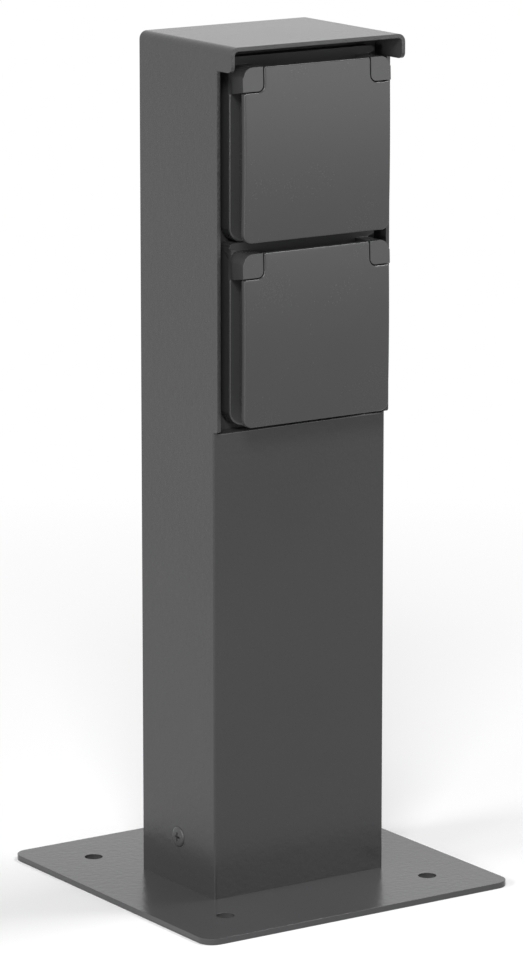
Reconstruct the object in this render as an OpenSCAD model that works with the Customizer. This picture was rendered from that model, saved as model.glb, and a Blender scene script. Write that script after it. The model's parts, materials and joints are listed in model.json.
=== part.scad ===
// Garden socket post: a folded sheet housing on a base plate, with two sprung flap sockets.
// Millimetres. X runs to the right, Y to the back and Z up. The front faces -Y.
// The origin is the middle of the base plate's underside.

/* [Base plate] */
// Side of the square base plate
plate_w = 180; // [150:1:240]
// Thickness of the base plate
plate_t = 3; // [2:0.5:6]
// Corner radius of the base plate
plate_corner_r = 10; // [2:0.5:20]
// Distance between neighbouring anchor holes
anchor_pitch = 120; // [116:1:136]
// Diameter of an anchor hole
anchor_d = 9; // [5:0.5:12]
// Diameter of the cable hole
cable_hole_d = 30; // [20:1:34]
// How far the post stands ahead of the plate's middle
post_shift = 3; // [0:0.5:8]

/* [Housing] */
// Width of the housing
post_w = 100; // [95:1:112]
// Depth of the housing below the sockets
post_d = 64; // [60:1:80]
// Height of the housing above the base plate
post_h = 419; // [340:1:600]
// Thickness of the housing sheet
sheet_t = 2; // [1.5:0.1:2.4]
// Outer radius of the bends between roof and sides
roof_bend_r = 5; // [3:0.5:8]
// Outer radius of the bends between sides and apron
apron_bend_r = 2.5; // [2.5:0.1:5]
// How far the roof stands ahead of the apron
visor_len = 16; // [12:0.5:24]
// Height of the visor's side wings, measured from the roof's top
wing_h = 11.5; // [8:0.5:16]
// Radius of the wings' lower front corner
wing_r = 3; // [0.5:0.5:5]
// How far the side cheeks stand ahead of the apron
cheek_len = 3.6; // [2:0.2:6]
// Radius of the cheeks' lower front corner
cheek_r = 1.5; // [0.5:0.1:1.9]
// How far the socket panel lies behind the apron
panel_setback = 6; // [4:0.5:8]

/* [Base bracket] */
// Thickness of the bracket sheet
bracket_t = 2.5; // [2:0.1:3.5]
// Outer radius of the bracket's bends
bracket_bend_r = 4; // [3.6:0.1:6]
// Width of the bracket, from front to back
bracket_d = 46; // [44:1:54]
// Length of the bracket's feet
bracket_foot = 27; // [24:0.5:28]
// Height of the bracket legs above the base plate
bracket_h = 42; // [34:1:60]
// Height of the side screws above the base plate
screw_h = 24; // [18:0.5:30]
// Thread diameter of the side screws
screw_d = 5; // [4:0.5:6]
// Head diameter of the side screws
screw_head_d = 10.4; // [9.5:0.1:12]
// Length of the side screws, from the housing's face
screw_len = 12; // [11:0.5:18]
// How far the screw heads stand out
screw_dome = 0.9; // [0.5:0.1:1.5]

/* [Covers] */
// Width of a cover
cover_w = 84; // [82:0.5:86]
// Height of a lid
cover_h = 84.5; // [82:0.5:90]
// Gap between the two lids
cover_gap = 4.5; // [4:0.1:8]
// Distance from the roof's top down to the upper lid
cover_drop = 9.7; // [8:0.1:16]
// Gap between the lower lid and the apron's top edge
apron_gap = 3.8; // [2.5:0.1:8]
// How far the lids stand ahead of the apron
cover_proud = 15; // [13:0.5:18]
// How far the flanges stand ahead of the apron
flange_proud = 2; // [1:0.1:3]
// Radius of a flange's lower corners
flange_r = 8; // [6:0.5:12]
// How far a flange reaches below its lid
flange_drop = 1.2; // [0:0.1:1.6]
// Wall of the cover frame
frame_wall = 2; // [1.6:0.1:2.6]
// Inset of the sealing collar from the cover's edge
collar_inset = 6; // [5:0.2:8]
// Width of a hinge tab
tab_w = 11.5; // [10:0.1:14]
// Height of a hinge tab
tab_h = 12.1; // [11.5:0.1:14]
// Radius of a tab's outer upper corner
tab_r = 6.5; // [4:0.1:8]
// Radius of a tab's inner lower corner
tab_inner_r = 3; // [1:0.1:4]
// Gap between a tab and its lid
tab_gap = 0.8; // [0.8:0.05:1]

/* [Lids] */
// Wall of a lid
lid_wall = 2.4; // [2.2:0.1:2.6]
// Radius of a lid's lower corners
lid_r = 4.5; // [3:0.1:8]
// How much a lid's face swells at mid height
lid_crown = 0.7; // [0.3:0.1:1.2]
// Depth of a lid's skirt at its top and bottom
skirt_deep = 4; // [3.6:0.1:5]
// Depth of a lid's skirt at mid height
skirt_shallow = 2.8; // [2.7:0.1:3.2]
// Distance from a lid's top edge down to its hinge
hinge_drop = 4.5; // [4:0.1:4.6]
// Distance from a lid's face back to its hinge
hinge_back = 2.8; // [2.7:0.05:2.9]
// Diameter of a hinge pin
pin_d = 2; // [1.6:0.1:2.2]
// Length of a lid's knuckle
knuckle_len = 8; // [5:0.5:12]
// Outer radius of a lid's knuckle
knuckle_r = 2.6; // [2.2:0.05:2.65]
// Height of the lid seal
seal_h = 3.3; // [2.5:0.1:4]
// Width of the lid seal
seal_w = 2.6; // [2:0.1:3.2]

/* [Lid springs] */
// Wire diameter of a lid spring
spring_wire = 0.5; // [0.4:0.05:0.6]
// Whole turns of a lid spring
spring_turns = 5; // [3:1:7]
// Spacing of a lid spring's turns
spring_pitch = 1; // [0.95:0.05:1.2]
// Length of the spring leg that the lid holds
spring_leg = 6; // [5.6:0.1:6.2]

/* [Plug cups] */
// Inner diameter of a plug cup
cup_d = 39.4; // [38.4:0.1:40]
// Depth of a plug cup
cup_depth = 17.5; // [16:0.5:19]
// Wall of a plug cup
cup_wall = 2.3; // [1.8:0.1:2.5]
// Thickness of a plug cup's floor
cup_floor = 1.8; // [1.4:0.1:2.4]
// Thickness of an insert's face
face_t = 2; // [1.5:0.1:3]
// Distance between the two contacts
contact_pitch = 19; // [18:0.1:20]
// Diameter of the contact holes in the cup floor
contact_hole_d = 5.4; // [5:0.1:6]
// Width of the two guide ribs in a cup
guide_w = 5.2; // [3:0.1:7]
// Height of the two guide ribs in a cup
guide_h = 1.8; // [1:0.1:2.4]

/* [Socket bases] */
// Width of a socket base
base_w = 46; // [45.6:0.2:48]
// Corner radius of a socket base
base_r = 8; // [4:0.5:10]
// Depth of a socket base behind the socket panel's face
base_depth = 33; // [31:0.5:38]
// Thickness of a support ring
ring_t = 1.2; // [0.8:0.1:1.6]
// Width of a support ring
ring_w = 71; // [69:0.5:74]
// Spacing of the two screws of a support ring
ring_screw_pitch = 60; // [57:0.5:62]
// Thread diameter of the support ring screws
ring_screw_d = 3; // [2.5:0.1:3.5]
// Thickness of a flange seal
flange_seal_t = 0.8; // [0.5:0.1:1.2]
// Bore of the brass contacts
contact_d = 4.9; // [4.8:0.05:5.2]
// Outer diameter of the brass contacts
contact_od = 6.8; // [6.4:0.1:7.2]
// Thickness of the earth strap
earth_t = 0.8; // [0.6:0.1:1]
// Width of the earth strap
earth_w = 5; // [4:0.1:5.4]
// Diameter of the centre screw
centre_screw_d = 3.5; // [3:0.1:3.8]

/* [Wires and cable inlet] */
// Diameter of an insulated wire
wire_d = 2.8; // [2.2:0.1:3]
// Bore of the cable grommet
grommet_bore = 14; // [8:0.5:16]
// Thickness of the grommet's collar
grommet_collar = 2.5; // [1.5:0.1:4]
// Thread diameter of the earth stud
stud_d = 5; // [4:0.5:6]
// Height of the earth stud above the bracket
stud_h = 14; // [12:0.5:20]
// Distance of the earth stud to the right of the middle
stud_x = 31; // [30:0.5:34]

/* [Hidden] */

$fn = 72;
bow_n = 8;
arc_n = 8;
over = 1;

// Clearances
sheet_fit = 0.2;
screw_fit = 0.1;
run_fit = 0.05;
pin_seat = 0.02;
part_fit = 0.3;
seal_fit = 0.3;
wire_fit = 0.25;

// Colours
coat = "#4b4b4d";
plastic = "#47474a";
dark_plastic = "#3a3a3c";
rubber = "#232323";
steel = "#a9abae";
brass = "#b8973f";

// Places of the housing
post_y = -post_shift;
front_y = post_y - post_d / 2;
back_y = post_y + post_d / 2;
visor_y = front_y - visor_len;
cheek_y = front_y - cheek_len;
panel_y = front_y + panel_setback;
top_z = plate_t + post_h;
roof_z = top_z - sheet_t;
wing_z = top_z - wing_h;
inner_x = post_w / 2 - sheet_t;
inner_bend_r = roof_bend_r - sheet_t;
return_gap = 0.5;

// Places of the covers. Index 0 is the lower one and 1 the upper one.
cover_pitch = cover_h + cover_gap;
cover_z = [top_z - cover_drop - cover_h / 2 - cover_pitch, top_z - cover_drop - cover_h / 2];
apron_z = cover_z[0] - cover_h / 2 - apron_gap;

// Heights in a cover's own frame: x to the right, y up and z out of the panel's face
flange_z = panel_setback + flange_proud;
lid_z = panel_setback + cover_proud;
lid_in_z = lid_z - lid_wall;
seal_z = lid_in_z - seal_h;
collar_z = seal_z - seal_fit;
face_z = flange_z + face_t;
cup_z = face_z - cup_depth;
seat_z = cup_z - cup_floor;
top_y = cover_h / 2;
hinge_y = top_y - hinge_drop;
hinge_z = lid_z - hinge_back;
cup_r = cup_d / 2 + cup_wall;
lid_top_x = cover_w / 2 - tab_w - tab_gap;
shoulder_y = top_y - tab_h - tab_gap;

// Outline of the sealing collar
collar_gap = 0.7;
collar_x = cover_w / 2 - collar_inset;
collar_low_y = -top_y + collar_inset - collar_gap;
collar_high_y = shoulder_y - lid_wall - collar_gap;
collar_r = 6;

// Contacts, earth strap and terminals behind the cup
contact_x = contact_pitch / 2;
contact_slot = contact_od + 2 * screw_fit;
base_floor = 2.2;
slot_floor_z = -base_depth + base_floor;
bar_t = 3.2;
bar_inset = 3.5;
bar_l = base_w - 2 * bar_inset;
bar_w = contact_od - 2 * part_fit;
cutout_gap = 1;
strap_drop = 3;
strap_z = seat_z - strap_drop;
strap_y = cup_d / 2 + cup_wall / 2 + earth_t / 2;
strap_bump = 1.9;
clip_tip_z = flange_z - 1.5;
clip_bend = 4.5;
wire_z = slot_floor_z + bar_t / 2 + part_fit;
earth_wire_z = strap_z - wire_d / 2 - screw_fit;
earth_lap = 5.25;
earth_end_y = strap_y - earth_lap;
earth_wire_in = base_w / 2 - earth_end_y;

// Bracket, side screws and their nuts
bracket_x = inner_x - sheet_fit;
nut_across = 1.6;
nut_high = 0.8;
recess_l = 0.52;
recess_w = 0.12;
recess_depth = 1.6;
dome_n = 5;

// Pan heads: shares of the head's height and width at the top edge, and of its height in the recess
pan_side = 0.6;
pan_top = 0.72;
pan_recess = 0.6;
ring_head_d = 1.9 * ring_screw_d;
ring_head_h = 1.8;
ring_screw_len = 8;
centre_head_d = 1.8 * centre_screw_d;
centre_head_h = 2;
centre_screw_len = 13;

// Cable inlet and earth stud
grommet_rim = 4;
grommet_edge = 1;
collar_d = cable_hole_d + 2 * grommet_rim;
web_z = plate_t + bracket_t;
stud_y = panel_y - earth_wire_z;
stud_foot = 1.5 * stud_d;
stud_foot_t = 1;
lug_t = 0.8;
lug_z = web_z + stud_foot_t;
lug_r = 1.1 * stud_d;
crimp_wall = 0.6;
crimp_h = 8;
crimp_x = stud_x - lug_r - wire_d / 2;
wire_sides = 8;
wire_steps = 32;

// Hinge pin, lid spring and the keeper for its leg
pin_stop = 1.5;
pin_play = 0.5;
pin_reach = cover_w / 2 - frame_wall - pin_stop - pin_play;
coil_r = pin_d / 2 + part_fit + spring_wire / 2;
coil_sweep = 270 + 360 * spring_turns;
coil_l = spring_pitch * coil_sweep / 360;
spring_sides = 6;
spring_rings = 8;
keeper_w = 2.6;
keeper_h = 2;
keeper_wall = 0.7;
keeper_hole = spring_wire + 2 * part_fit;

// Points of a quarter round about c, starting at angle a, or the bare corner when r is nothing
function corner(c, r, a) = r > 0
    ? [for (i = [0 : arc_n]) c + r * [cos(a + 90 * i / arc_n), sin(a + 90 * i / arc_n)]]
    : [c];

// Rectangle from (x0, y0) to (x1, y1) with its own radius at each corner
function rounded(x0, y0, x1, y1, bl, br, tr, tl) = concat(
    corner([x0 + bl, y0 + bl], bl, 180),
    corner([x1 - br, y0 + br], br, 270),
    corner([x1 - tr, y1 - tr], tr, 0),
    corner([x0 + tl, y1 - tl], tl, 90));

// Square of side w about the middle, with one corner radius
function round_square(w, r) = rounded(-w / 2, -w / 2, w / 2, w / 2, r, r, r, r);

function unit(v) = v / norm(v);

// Direction of a path at point i
function heading(path, i) = unit(path[min(i + 1, len(path) - 1)] - path[max(i - 1, 0)]);

// Point of a cubic curve at share t
function curve_point(p, t) = pow(1 - t, 3) * p[0] + 3 * t * pow(1 - t, 2) * p[1]
    + 3 * t * t * (1 - t) * p[2] + t * t * t * p[3];

// Least clear distance between parts of a wound tube of radius r that are skip points or more apart
function self_gap(path, r, skip) = min([for (i = [0 : len(path) - 1 - skip])
    for (j = [i + skip : len(path) - 1]) norm(path[i] - path[j])]) - 2 * r;

// Tube of radius r along a path that never runs along ref
module tube(path, r, sides, ref) {
    last = len(path) - 1;
    points = [for (i = [0 : last])
        let (t = heading(path, i), a = unit(cross(t, ref)), b = cross(t, a))
        for (k = [0 : sides - 1]) path[i] + r * (cos(360 * k / sides) * a + sin(360 * k / sides) * b)];
    walls = [for (i = [0 : last - 1], k = [0 : sides - 1])
        let (m = (k + 1) % sides, p = i * sides, q = p + sides)
        each [[p + k, q + k, q + m], [p + k, q + m, p + m]]];
    ends = [for (k = [1 : sides - 2])
        each [[0, k, k + 1], [last * sides, last * sides + k + 1, last * sides + k]]];
    polyhedron(points, concat(walls, ends));
}

// Extrusion of an X-Z outline from y0 to y1
module along_y(y0, y1) {
    translate([0, y1, 0]) rotate([90, 0, 0]) linear_extrude(y1 - y0) children();
}

// Extrusion of a Y-Z outline from x0 to x1
module along_x(x0, x1) {
    translate([x0, 0, 0]) rotate([90, 0, 90]) linear_extrude(x1 - x0) children();
}

// Extrusion of an outline from z0 to z1
module layer(z0, z1) {
    translate([0, 0, z0]) linear_extrude(z1 - z0) children();
}

// Moves a cover's own frame to cover i
module at_cover(i) {
    translate([0, panel_y, cover_z[i]]) rotate([90, 0, 0]) children();
}

// Both sides of the housing, with children drawn along +X from the housing's right face
module both_sides() {
    for (s = [0, 1]) mirror([s, 0, 0])
        translate([post_w / 2, post_y, plate_t + screw_h]) rotate([0, 90, 0]) children();
}

// Cylinder along X from x0 to x1 at (y, z) of the cover's own frame
module rod(x0, x1, y, z, r) {
    translate([x0, y, z]) rotate([0, 90, 0]) cylinder(h = x1 - x0, r = r);
}

// Children on the right, and again on the left
module mirrored_x() {
    for (s = [0, 1]) mirror([s, 0, 0]) children();
}

// Base plate with its anchor holes and cable hole
module base_plate() {
    color(coat) difference() {
        layer(0, plate_t) polygon(round_square(plate_w, plate_corner_r));
        for (x = [-1, 1], y = [-1, 1])
            translate([x * anchor_pitch / 2, y * anchor_pitch / 2, -over])
                cylinder(h = plate_t + 2 * over, d = anchor_d);
        translate([0, post_y, -over]) cylinder(h = plate_t + 2 * over, d = cable_hole_d);
    }
}

// Pair of folded angles that the housing slips over
module base_bracket() {
    high_z = plate_t + bracket_h;
    bend = [bracket_x - bracket_bend_r, plate_t + bracket_bend_r];
    inner_bend = corner(bend, bracket_bend_r - bracket_t, 270);
    outline = concat(
        [[bracket_x - bracket_foot, plate_t]],
        corner(bend, bracket_bend_r, 270),
        [[bracket_x, high_z], [bracket_x - bracket_t, high_z]],
        [for (k = [arc_n : -1 : 0]) inner_bend[k]],
        [[bracket_x - bracket_foot, web_z]]);
    color(coat) difference() {
        mirrored_x() along_y(post_y - bracket_d / 2, post_y + bracket_d / 2) polygon(outline);
        both_sides() translate([0, 0, -sheet_t - sheet_fit - bracket_t - over])
            cylinder(h = bracket_t + over + sheet_fit, d = screw_d + 2 * part_fit);
    }
}

// Hexagon nut for thread d, standing on the XY plane
module hex_nut(d) {
    difference() {
        cylinder(h = nut_high * d, d = nut_across * d / cos(30), $fn = 6);
        translate([0, 0, -over]) cylinder(h = nut_high * d + 2 * over, d = d + 2 * run_fit);
    }
}

// Nuts on the inner faces of the bracket legs
module weld_nuts() {
    color(steel) both_sides()
        translate([0, 0, -sheet_t - sheet_fit - bracket_t - nut_high * screw_d])
            hex_nut(screw_d);
}

// Half section of the screw's head and shank: radius against height over the housing's face
module side_screw_profile(head_r, shank_r, length) {
    dome = [for (k = [0 : dome_n]) [head_r * cos(90 * k / dome_n), screw_dome * sin(90 * k / dome_n)]];
    polygon(concat([[0, -length], [shank_r, -length], [shank_r, -sheet_t]], dome));
}

// Cross recess of a head of diameter d whose top is at z 0
module cross_recess(d, depth) {
    for (a = [0, 90]) rotate([0, 0, a])
        translate([-recess_l * d / 2, -recess_w * d / 2, -depth])
            cube([recess_l * d, recess_w * d, depth + over]);
}

// Countersunk screws that hold the housing to the bracket
module side_screws() {
    color(coat) both_sides() difference() {
        rotate_extrude() side_screw_profile(screw_head_d / 2 - screw_fit, screw_d / 2, screw_len);
        translate([0, 0, screw_dome]) cross_recess(screw_head_d, recess_depth);
    }
}

// Rounded lower front corner of a side view whose front is at y and whose underside is at z
function lower_front(y, z, r) = [for (i = [0 : arc_n])
    [y + r - r * sin(90 * i / arc_n), z + r - r * cos(90 * i / arc_n)]];

// Side view of the housing sheet: back, apron fold line, cheek, wing and roof
function side_outline() = concat(
    [[back_y, plate_t], [front_y + apron_bend_r, plate_t], [front_y + apron_bend_r, apron_z]],
    lower_front(cheek_y, apron_z, cheek_r),
    [[cheek_y, wing_z]],
    lower_front(visor_y, wing_z, wing_r),
    [[visor_y, top_z + over], [back_y, top_z + over]]);

// Folded housing sheet: sides, roof with visor, cheeks, and the apron with its top return
module outer_shell() {
    hood = rounded(-post_w / 2, plate_t, post_w / 2, top_z, 0, 0, roof_bend_r, roof_bend_r);
    hood_in = rounded(-inner_x, plate_t - over, inner_x, roof_z, 0, 0, inner_bend_r, inner_bend_r);
    fold_y = front_y + apron_bend_r;
    apron = rounded(-post_w / 2, front_y, post_w / 2, fold_y + over, apron_bend_r, apron_bend_r, 0, 0);
    apron_in = rounded(-inner_x, front_y + sheet_t, inner_x, fold_y + 2 * over,
        apron_bend_r - sheet_t, apron_bend_r - sheet_t, 0, 0);
    color(coat) difference() {
        union() {
            intersection() {
                along_y(visor_y, back_y) difference() {
                    polygon(hood);
                    polygon(hood_in);
                }
                along_x(-post_w, post_w) polygon(side_outline());
            }
            layer(plate_t, apron_z) difference() {
                polygon(apron);
                polygon(apron_in);
            }
            translate([-inner_x + return_gap, front_y + sheet_t / 2, apron_z - sheet_t])
                cube([2 * (inner_x - return_gap), panel_setback + sheet_t / 2, sheet_t]);
        }
        both_sides() rotate_extrude() polygon([[0, -sheet_t - over],
            [screw_d / 2 + part_fit, -sheet_t - over], [screw_d / 2 + part_fit, -sheet_t],
            [screw_head_d / 2, 0], [screw_head_d / 2, over], [0, over]]);
    }
}

// Sheet across the inside of the housing from height z0 up to the roof
module bulkhead(z0, y0) {
    w = inner_x - sheet_fit;
    along_y(y0, y0 + sheet_t)
        polygon(rounded(-w, z0, w, roof_z - sheet_fit, 0, 0, inner_bend_r, inner_bend_r));
}

// Sheet that closes the back
module rear_panel() {
    color(coat) bulkhead(plate_t, back_y - sheet_t);
}

// Recessed sheet that carries both sockets
module socket_panel() {
    color(coat) difference() {
        bulkhead(apron_z, panel_y);
        for (i = [0, 1]) at_cover(i) {
            layer(-sheet_t - over, over)
                polygon(round_square(base_w + 2 * cutout_gap, base_r + cutout_gap));
            mirrored_x() translate([ring_screw_pitch / 2, 0, -sheet_t - over])
                cylinder(h = sheet_t + 2 * over, d = ring_screw_d + 2 * run_fit);
        }
    }
}

// Rubber edge guard in the cable hole, with its collar on the plate
module cable_grommet() {
    body_r = cable_hole_d / 2 - screw_fit;
    bore_r = grommet_bore / 2;
    high_z = plate_t + grommet_collar;
    color(rubber) translate([0, post_y, 0]) rotate_extrude()
        polygon([[bore_r, 0], [body_r, 0], [body_r, plate_t], [collar_d / 2, plate_t],
            [collar_d / 2, high_z - grommet_edge], [collar_d / 2 - grommet_edge, high_z], [bore_r, high_z]]);
}

// Welded stud for the protective earth
module earth_stud() {
    color(steel) translate([stud_x, stud_y, web_z]) {
        cylinder(h = stud_h, d = stud_d);
        cylinder(h = stud_foot_t, d = stud_foot);
    }
}

// Nut that clamps the earth lead's lug
module earth_nut() {
    color(steel) translate([stud_x, stud_y, lug_z + lug_t])
        hex_nut(stud_d);
}

// Lead from the stud to the lower socket's earth terminal: lug, crimp and wire
module earth_lead() {
    foot = [crimp_x, stud_y, lug_z + crimp_h / 2];
    head = [0, stud_y, cover_z[0] - earth_end_y];
    rise = [0, 0, (head[2] - foot[2]) / 2];
    bend = [foot, foot + rise, head - rise, head];
    color("#7a9a2e") {
        tube([for (i = [0 : wire_steps]) curve_point(bend, i / wire_steps)],
            wire_d / 2, wire_sides, [0, 1, 0]);
        translate([crimp_x, stud_y, lug_z]) cylinder(h = crimp_h, d = wire_d + 2 * crimp_wall);
        difference() {
            translate([0, stud_y, 0]) layer(lug_z, lug_z + lug_t) union() {
                translate([stud_x, 0]) circle(r = lug_r);
                translate([crimp_x, -wire_d / 2]) square([stud_x - crimp_x, wire_d]);
            }
            translate([stud_x, stud_y, lug_z - over])
                cylinder(h = lug_t + 2 * over, d = stud_d + 2 * part_fit);
        }
    }
}

// Straight wire between the bases at (x, z) of the cover's own frame, reaching inset into each
module link_wire(x, z, inset) {
    reach = base_w / 2 - inset;
    translate([x, panel_y - z, cover_z[0] + reach])
        cylinder(h = cover_pitch - 2 * reach, d = wire_d);
}

// Wire between the live terminals
module live_link() {
    color("#6b4226") link_wire(-contact_x, wire_z, bar_inset);
}

// Wire between the neutral terminals
module neutral_link() {
    color("#2f5fa8") link_wire(contact_x, wire_z, bar_inset);
}

// Wire between the earth terminals
module earth_link() {
    color("#7a9a2e") link_wire(0, earth_wire_z, earth_wire_in);
}

// Pan head screw along -z: head on the plane z 0
module pan_screw(d, head_d, head_h, length) {
    difference() {
        union() {
            translate([0, 0, -length]) cylinder(h = length, d = d);
            rotate_extrude() polygon([[0, 0], [head_d / 2, 0], [head_d / 2, pan_side * head_h],
                [pan_top * head_d / 2, head_h], [0, head_h]]);
        }
        translate([0, 0, head_h]) cross_recess(head_d, pan_recess * head_h);
    }
}

// Screws that hold the support rings to the socket panel
module panel_screws() {
    color(steel) for (i = [0, 1]) at_cover(i) mirrored_x()
        translate([ring_screw_pitch / 2, 0, ring_t])
            pan_screw(ring_screw_d, ring_head_d, ring_head_h, ring_screw_len);
}

// Screws in the cup floors
module centre_screws() {
    color(steel) for (i = [0, 1]) at_cover(i) translate([0, 0, cup_z])
        pan_screw(centre_screw_d, centre_head_d, centre_head_h, centre_screw_len);
}

// Flange outline, drawn in by inset
function flange_points(inset) = rounded(-cover_w / 2 + inset, -top_y - flange_drop + inset,
    cover_w / 2 - inset, top_y - inset,
    flange_r - inset, flange_r - inset, tab_r - inset, tab_r - inset);

// Collar outline, drawn in by inset
function collar_points(inset) = rounded(-collar_x + inset, collar_low_y + inset,
    collar_x - inset, collar_high_y - inset,
    collar_r - inset, collar_r - inset, collar_r - inset, collar_r - inset);

// Cover frame: hollow flange, sealing collar and two hinge tabs
module cover_frame(i) {
    tab_x = cover_w / 2 - tab_w;
    pin_end = cover_w / 2 - frame_wall - pin_stop;
    color(plastic) at_cover(i) difference() {
        union() {
            layer(flange_seal_t, flange_z) polygon(flange_points(0));
            layer(flange_z - frame_wall / 2, collar_z) difference() {
                polygon(collar_points(0));
                polygon(collar_points(frame_wall));
            }
            mirrored_x() layer(flange_z, lid_z)
                polygon(rounded(tab_x, top_y - tab_h, cover_w / 2, top_y, tab_inner_r, 0, tab_r, 0));
        }
        layer(flange_seal_t - over, flange_z - frame_wall) polygon(flange_points(frame_wall));
        translate([0, 0, flange_z - frame_wall - over])
            cylinder(h = frame_wall + 2 * over, r = cup_r + part_fit);
        mirrored_x() rod(tab_x - over, pin_end, hinge_y, hinge_z, pin_d / 2 + pin_seat);
    }
}

// Gasket under the flange's rim
module flange_seal(i) {
    color(rubber) at_cover(i) layer(0, flange_seal_t) difference() {
        polygon(flange_points(seal_fit));
        polygon(flange_points(frame_wall + seal_fit));
    }
}

// Steel ring that carries the base on the socket panel
module support_ring(i) {
    color(steel) at_cover(i) difference() {
        layer(0, ring_t) polygon(round_square(ring_w, base_r));
        translate([0, 0, -over]) cylinder(h = ring_t + 2 * over, r = cup_r + part_fit);
        mirrored_x() translate([ring_screw_pitch / 2, 0, -over])
            cylinder(h = ring_t + 2 * over, d = ring_screw_d + 2 * part_fit);
    }
}

// Plug cup with its face, guide ribs, contact holes and earth clip slots
module insert(i) {
    slot_w = earth_w + 2 * part_fit;
    color(dark_plastic) at_cover(i) difference() {
        union() {
            layer(flange_z, face_z) polygon(collar_points(frame_wall + part_fit));
            translate([0, 0, seat_z]) cylinder(h = face_z - seat_z - face_t / 2, r = cup_r);
        }
        difference() {
            translate([0, 0, cup_z]) cylinder(h = cup_depth + over, d = cup_d);
            mirrored_x() translate([cup_d / 2 - guide_h, -guide_w / 2, cup_z - over])
                cube([guide_h + over, guide_w, face_z - cup_z - face_t + over]);
        }
        for (s = [-1, 1]) translate([s * contact_x, 0, seat_z - over])
            cylinder(h = cup_floor + 2 * over, d = contact_hole_d);
        translate([0, 0, seat_z - over])
            cylinder(h = cup_floor + 2 * over, d = centre_screw_d + 2 * screw_fit);
        for (s = [0, 1]) mirror([0, s, 0])
            translate([-slot_w / 2, cup_d / 2 - strap_bump - part_fit, seat_z - over])
                cube([slot_w, cup_wall + strap_bump + over, flange_z - seat_z]);
    }
}

// Contact housing behind the cup
module base(i) {
    color("#d8d4c8") at_cover(i) difference() {
        layer(-base_depth, 0) polygon(round_square(base_w, base_r));
        translate([0, 0, seat_z]) cylinder(h = over - seat_z, r = cup_r + part_fit);
        for (s = [-1, 1]) translate([s * contact_x - contact_slot / 2, -bar_l / 2 - screw_fit, slot_floor_z])
            cube([contact_slot, bar_l + 2 * screw_fit, over - slot_floor_z]);
        translate([-earth_w / 2 - screw_fit, -strap_y - screw_fit, strap_z])
            cube([earth_w + 2 * screw_fit, 2 * (strap_y + screw_fit), seat_z + over - strap_z]);
        translate([0, 0, cup_z - centre_screw_len - over])
            cylinder(h = centre_screw_len, d = centre_screw_d + 2 * screw_fit);
        for (s = [-1, 1]) translate([s * contact_x, base_w / 2 + over, wire_z]) rotate([90, 0, 0])
            cylinder(h = base_w + 2 * over, d = wire_d + 2 * wire_fit);
        for (s = [0, 1]) mirror([0, s, 0]) translate([0, base_w / 2 + over, earth_wire_z]) rotate([90, 0, 0])
            cylinder(h = earth_wire_in + over, d = wire_d + 2 * wire_fit);
    }
}

// Pair of brass sleeves on their terminal bars
module contacts(i) {
    color(brass) at_cover(i) for (s = [-1, 1]) translate([s * contact_x, 0, 0]) difference() {
        union() {
            translate([0, 0, slot_floor_z]) cylinder(h = seat_z - screw_fit - slot_floor_z, d = contact_od);
            translate([-bar_w / 2, -bar_l / 2, slot_floor_z]) cube([bar_w, bar_l, bar_t]);
        }
        translate([0, 0, slot_floor_z + bar_t]) cylinder(h = base_depth, d = contact_d);
    }
}

// Earth strap: bridge behind the cup and two sprung clips that reach into it
module earth_clip(i) {
    arm_out = strap_y;
    arm_in = strap_y - earth_t;
    bump_z = clip_tip_z - clip_bend;
    root_z = bump_z - clip_bend;
    arm = [[arm_in, strap_z + earth_t], [arm_in, root_z], [arm_in - strap_bump, bump_z], [arm_in, clip_tip_z],
        [arm_out, clip_tip_z], [arm_out - strap_bump, bump_z], [arm_out, root_z], [arm_out, strap_z]];
    color(brass) at_cover(i) difference() {
        along_x(-earth_w / 2, earth_w / 2)
            polygon(concat(arm, [for (k = [len(arm) - 1 : -1 : 0]) [-arm[k][0], arm[k][1]]]));
        translate([0, 0, strap_z - over])
            cylinder(h = earth_t + 2 * over, d = centre_screw_d + 2 * screw_fit);
    }
}

// Pin that runs from tab to tab through the lid's knuckles
module hinge_pin(i) {
    color(steel) at_cover(i) rod(-pin_reach, pin_reach, hinge_y, hinge_z, pin_d / 2);
}

// Torsion spring on the pin: one leg rests on the frame, and the lid holds the other
module lid_spring(i) {
    steps = round(coil_sweep / 360 * spring_rings);
    coil = [for (k = [0 : steps]) let (a = -90 + coil_sweep * k / steps)
        [-coil_l / 2 + coil_l * k / steps, hinge_y + coil_r * sin(a), hinge_z + coil_r * cos(a)]];
    rest = [-coil_l / 2, hinge_y - coil_r, flange_z];
    held = [coil_l / 2, hinge_y - spring_leg, hinge_z - coil_r];
    echo(lid_spring_least_gap_mm = self_gap(coil, spring_wire / 2, spring_rings / 2));
    color(steel) at_cover(i) tube(concat([rest], coil, [held]), spring_wire / 2, spring_sides, [1, 0, 0]);
}

// Lid outline, drawn in by inset, with the two shoulders that clear the hinge tabs
function lid_points(inset) = let (
        w = cover_w / 2 - inset,
        neck = lid_top_x - inset,
        low = -top_y + inset,
        high = top_y - inset,
        shoulder = shoulder_y - inset,
        r = lid_r - inset,
        hollow_r = tab_inner_r + tab_gap,
        hollow = [lid_top_x + hollow_r, shoulder_y + hollow_r],
        q = hollow_r + inset,
        notch = [for (k = [0 : arc_n]) hollow + q * [-sin(90 * k / arc_n), -cos(90 * k / arc_n)]])
    concat(corner([-w + r, low + r], r, 180), corner([w - r, low + r], r, 270),
        [[w, shoulder]], notch, [[neck, high], [-neck, high]],
        [for (k = [arc_n : -1 : 0]) [-notch[k][0], notch[k][1]]], [[-w, shoulder]]);

// Bowed line from below the lid to above it: height z at the lid's ends and rise more at its middle
function bow(z, rise) = [for (k = [-bow_n : bow_n])
    let (y = (top_y + over) * k / bow_n) [y, z + rise * (1 - pow(y / top_y, 2))]];

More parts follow.
